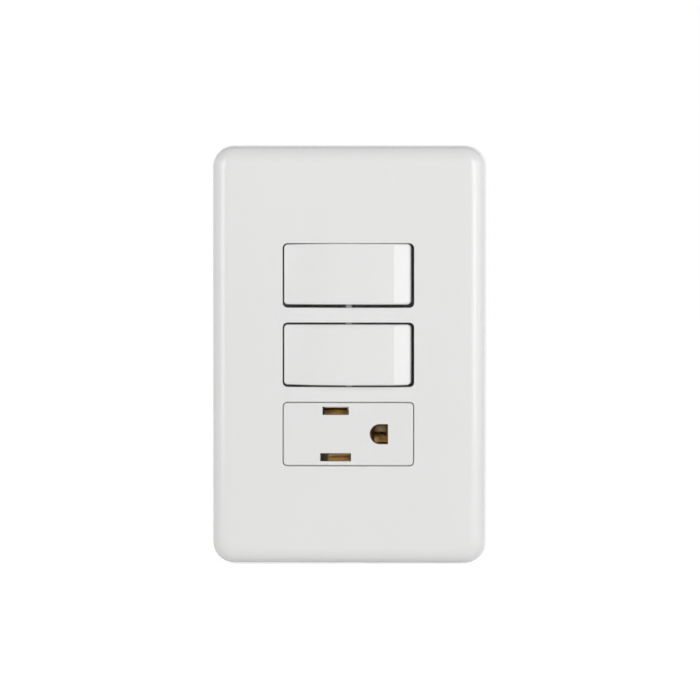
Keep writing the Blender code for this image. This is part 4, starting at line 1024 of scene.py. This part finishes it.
@made_once
def matt_plastic(name, base, roughness):
    """Moulded plastic with a fine eroded texture."""
    made, *parts = new_finish(name)
    erosion = {"Wave": 1500.0, "Pit": 9000.0, "Pit share": 0.6, "Tint": 0.10, "Spread": 0.12}
    grained(*parts, 0.00006, {"Colour": (*base, 1.0), "Roughness": roughness, **erosion})
    return made


@made_once
def spangled_zinc(name, base):
    """Galvanised sheet: zinc crystals of different brightness with fine rolling lines."""
    made, tree, shader, where = new_finish(name, Metallic=1.0)
    crystals = add(tree, "TexVoronoi", {"Vector": where, "Scale": 260.0}, feature="F1")
    stretch = add(tree, "Mapping", {"Vector": where, "Scale": (4000.0, 4000.0, 120.0)})
    rolling = noise(tree, stretch, 1.0, 3.0)
    grey = add(tree, "SeparateColor", {0: crystals.outputs["Color"]}).outputs
    tone = between(tree, grey["Red"], 0.86, 1.10)
    shade = add(tree, "VectorMath", {0: base[:], "Scale": tone}, operation="SCALE")
    rough = between(tree, grey["Green"], 0.28, 0.46)
    height = add(tree, "Mix", {"Factor": 0.6, "A": crystals, "B": rolling}, data_type="FLOAT")
    dress(tree, shader, shade, rough, height, 0.00002)
    return made


@made_once
def turned_metal(name, base, centre, axis, metallic):
    """A turned screw: fine rings round its axis, stains and a varying gloss."""
    made, tree, shader, where = new_finish(name, Metallic=metallic)
    turn = axis.rotation_difference(Vector((0, 0, 1))).to_euler()
    shift = -(turn.to_matrix() @ centre)
    place = add(tree, "Mapping", {"Vector": where, "Location": shift[:], "Rotation": turn[:]})
    winding = {"Vector": place, "Scale": 1600.0, "Distortion": 0.4, "Detail": 1.0}
    rings = add(tree, "TexWave", winding, wave_type="RINGS", rings_direction="Z")
    stain = noise(tree, where, 500.0, 4.0, Roughness=0.6)
    shade = tones(tree, stain, base, (0.82, 0.82, 0.82), (1.08, 1.08, 1.08))
    dress(tree, shader, shade, between(tree, stain, 0.22, 0.44), rings.outputs["Fac"], 0.000012)
    return made


@made_once
def rolled_brass(name, base, grain_axis):
    """Bare brass strip: rolling lines along one axis and a light tarnish in patches."""
    made, tree, shader, where = new_finish(name, Metallic=1.0)
    scale = [160.0 if axis == grain_axis else 3600.0 for axis in "XYZ"]
    stretch = add(tree, "Mapping", {"Vector": where, "Scale": scale})
    lines = noise(tree, stretch, 1.0, 3.0, Roughness=0.55)
    patches = noise(tree, where, 240.0, 4.0, Distortion=0.8)
    tarnish = add(tree, "MapRange", {"Value": patches, "From Min": 0.35, "From Max": 0.70})
    shade = tones(tree, tarnish, base, (1.10, 1.10, 1.10), (0.62, 0.55, 0.50))
    dress(tree, shader, shade, between(tree, patches, 0.20, 0.42), lines, 0.000015)
    return made


def finish_of(node):
    """The finish of a part of the model, and of the piece that stands for it."""
    colours = bpy.context.scene.switch_socket.finish
    if "screw" in node:
        base, metallic = (colours.earth, 0.55) if node == "earth_screw" else (colours.screw, 1.0)
        return turned_metal(f"turned_{node}", base, centre_of(node), screw_axis(node), metallic)
    finishes = (
        (("contact", "terminal", "lever"), rolled_brass, "rolled_brass", colours.brass, "X"),
        ("spring", rolled_brass, "drawn_wire", colours.spring, "Y"),
        ("base", matt_plastic, "grey_housing", colours.housing, 0.55),
        ("plate_carrier", matt_plastic, "matt_white_carrier", colours.carrier, 0.50),
        ("plunger", matt_plastic, "black_plunger", colours.plunger, 0.40),
        ("mounting_frame", spangled_zinc, "spangled_zinc", colours.zinc),
        (("switch_cover", "face"), gloss_plastic, "satin_white_module", colours.module, 0.26, 1.0),
        ("rocker", gloss_plastic, "gloss_white_rocker", colours.rocker, 0.20, 0.8),
        ("cover_plate", gloss_plastic, "gloss_white_plate", colours.plate, 0.20, 1.0),
    )
    for endings, make, *values in finishes:
        if node.endswith(endings):
            return make(*values)
    raise ValueError(f"{node} has no finish")


class SWITCH_SOCKET_OT_finishes(bpy.types.Operator):
    """Give every carried-over part of the model its own finish"""

    bl_idname = "switch_socket.finishes"
    bl_label = "Finishes"

    def execute(self, context):
        for name, node in NODES.items():
            node.data.materials.clear()
            node.data.materials.append(finish_of(name))
        return {"FINISHED"}


def soft_lamp(name, place, width, height, power):
    """A rectangular lamp turned towards the middle of the plate."""
    light = bpy.data.lights.new(name, "AREA")
    light.shape = "RECTANGLE"
    light.size = width
    light.size_y = height
    light.energy = power
    lamp = new_object(name, light)
    lamp.location = place
    lamp.rotation_euler = (-place).to_track_quat("-Z", "Y").to_euler()


def from_front(turn, rise):
    """The direction that lies some degrees to the right of the front and some degrees above it."""
    turn, rise = math.radians(turn), math.radians(rise)
    return Vector((math.sin(turn) * math.cos(rise), -math.cos(turn) * math.cos(rise), math.sin(rise)))


def white_room(ambient, ceiling):
    """A world that is white where it is seen, and gives less light from above than from around."""
    world = bpy.data.worlds.new("white room")
    bpy.context.scene.world = world
    world.use_nodes = True
    tree = world.node_tree
    path = add(tree, "LightPath").outputs
    around = between(tree, path["Is Glossy Ray"], ambient, 1.0)
    height = add(tree, "SeparateXYZ", {0: add(tree, "TexCoord").outputs["Generated"]}).outputs["Z"]
    fall = {"Value": height, "From Min": 0.1, "From Max": 0.8, "To Min": 1.0, "To Max": ceiling}
    above = add(tree, "MapRange", fall, interpolation_type="SMOOTHSTEP")
    lit = calculate(tree, "MULTIPLY", around, above)
    strength = calculate(tree, "MAXIMUM", path["Is Camera Ray"], lit)
    feed(tree, tree.nodes["Background"], {"Color": (1.0, 1.0, 1.0, 1.0), "Strength": strength})


def white_floor():
    """A pale floor that reads as white where it is seen, and keeps the object's shadow."""
    glow = 0.62
    made, tree, shader = new_material("white_floor", Roughness=0.7, Specular_IOR_Level=0.2)
    path = add(tree, "LightPath").outputs
    direct = calculate(tree, "MAXIMUM", path["Is Camera Ray"], path["Is Glossy Ray"])
    seen = calculate(tree, "MAXIMUM", direct, path["Is Transmission Ray"])
    lift = calculate(tree, "MULTIPLY", seen, glow)
    pale, white = (0.80, 0.80, 0.80, 1.0), (1.0, 1.0, 1.0, 1.0)
    feed(tree, shader, {"Base Color": pale, "Emission Color": white, "Emission Strength": lift})
    return made


class SWITCH_SOCKET_OT_stage(bpy.types.Operator):
    """Set the floor, the room's light, the lamps and the camera"""

    bl_idname = "switch_socket.stage"
    bl_label = "Stage"

    def execute(self, context):
        scene = context.scene
        settings = scene.switch_socket
        stage, plate = settings.stage, settings.plate
        bm = bmesh.new()
        floor_gap, floor_reach, lamp_rise = 0.0002, 3.0, 5
        level = Matrix.Translation((0, 0, -plate.height / 2 - floor_gap))
        bmesh.ops.create_grid(bm, x_segments=1, y_segments=1, size=floor_reach, matrix=level)
        new_object("floor", new_mesh("floor", bm, white_floor()))
        white_room(stage.ambient, stage.ceiling)
        # Each lamp's place in degrees to the right of the front, its width, its height and its power.
        lamps = (
            ("right softbox", 62, 0.50, 0.90, stage.right),
            ("left softbox", -44, 0.35, 0.90, stage.left),
            ("right fill", 42, 0.30, 0.90, stage.right_near),
            ("right strip", 31, 0.24, 1.10, stage.right_strip),
            ("left strip", -34, 0.12, 1.10, stage.left_strip),
        )
        for name, turn, width, height, power in lamps:
            soft_lamp(name, from_front(turn, lamp_rise) * stage.lamp_distance, width, height, power)
        camera = bpy.data.cameras.new("camera")
        camera.sensor_width = SENSOR_WIDTH
        camera.lens = SENSOR_WIDTH * stage.distance / stage.view_width
        camera.clip_start = 0.01
        camera.clip_end = 20.0
        eye = new_object("camera", camera)
        back = from_front(stage.turn, stage.rise)
        eye.location = Vector((stage.shift_x, 0.0, stage.shift_z)) + back * stage.distance
        eye.rotation_euler = back.to_track_quat("Z", "Y").to_euler()
        scene.camera = eye
        scene.view_settings.view_transform = "Standard"
        return {"FINISHED"}


class VIEW3D_PT_switch_socket(bpy.types.Panel):
    """Buttons and sizes for the switch and socket"""

    bl_label = "Switch and Socket"
    bl_space_type = "VIEW_3D"
    bl_region_type = "UI"
    bl_category = "Switch and Socket"

    def draw(self, context):
        layout = self.layout
        settings = context.scene.switch_socket
        for operator in OPERATORS:
            layout.operator(operator.bl_idname)
        for name in SwitchSocketSettings.__annotations__:
            group = getattr(settings, name)
            box = layout.box()
            for label in group.__annotations__:
                box.prop(group, label, text=label.replace("_", " ").capitalize())


OPERATORS = (
    SWITCH_SOCKET_OT_cover_plate,
    SWITCH_SOCKET_OT_rockers,
    SWITCH_SOCKET_OT_socket_face,
    SWITCH_SOCKET_OT_contacts,
    SWITCH_SOCKET_OT_springs,
    SWITCH_SOCKET_OT_screws,
    SWITCH_SOCKET_OT_housings,
    SWITCH_SOCKET_OT_finishes,
    SWITCH_SOCKET_OT_stage,
)
SETTINGS = (
    PlateSizes,
    RockerSizes,
    SocketSizes,
    SpringSizes,
    FinishColours,
    StageSettings,
    SwitchSocketSettings,
)


def register():
    for made in (*SETTINGS, *OPERATORS, VIEW3D_PT_switch_socket):
        bpy.utils.register_class(made)
    bpy.types.Scene.switch_socket = PointerProperty(type=SwitchSocketSettings)


def unregister():
    del bpy.types.Scene.switch_socket
    for made in reversed((*SETTINGS, *OPERATORS, VIEW3D_PT_switch_socket)):
        bpy.utils.unregister_class(made)


def main():
    register()
    bpy.ops.switch_socket.cover_plate()
    bpy.ops.switch_socket.rockers()
    bpy.ops.switch_socket.socket_face()
    bpy.ops.switch_socket.contacts()
    bpy.ops.switch_socket.springs()
    bpy.ops.switch_socket.screws()
    bpy.ops.switch_socket.housings()
    bpy.ops.switch_socket.finishes()
    bpy.ops.switch_socket.stage()
    bpy.context.view_layer.update()


if __name__ == "__main__":
    main()
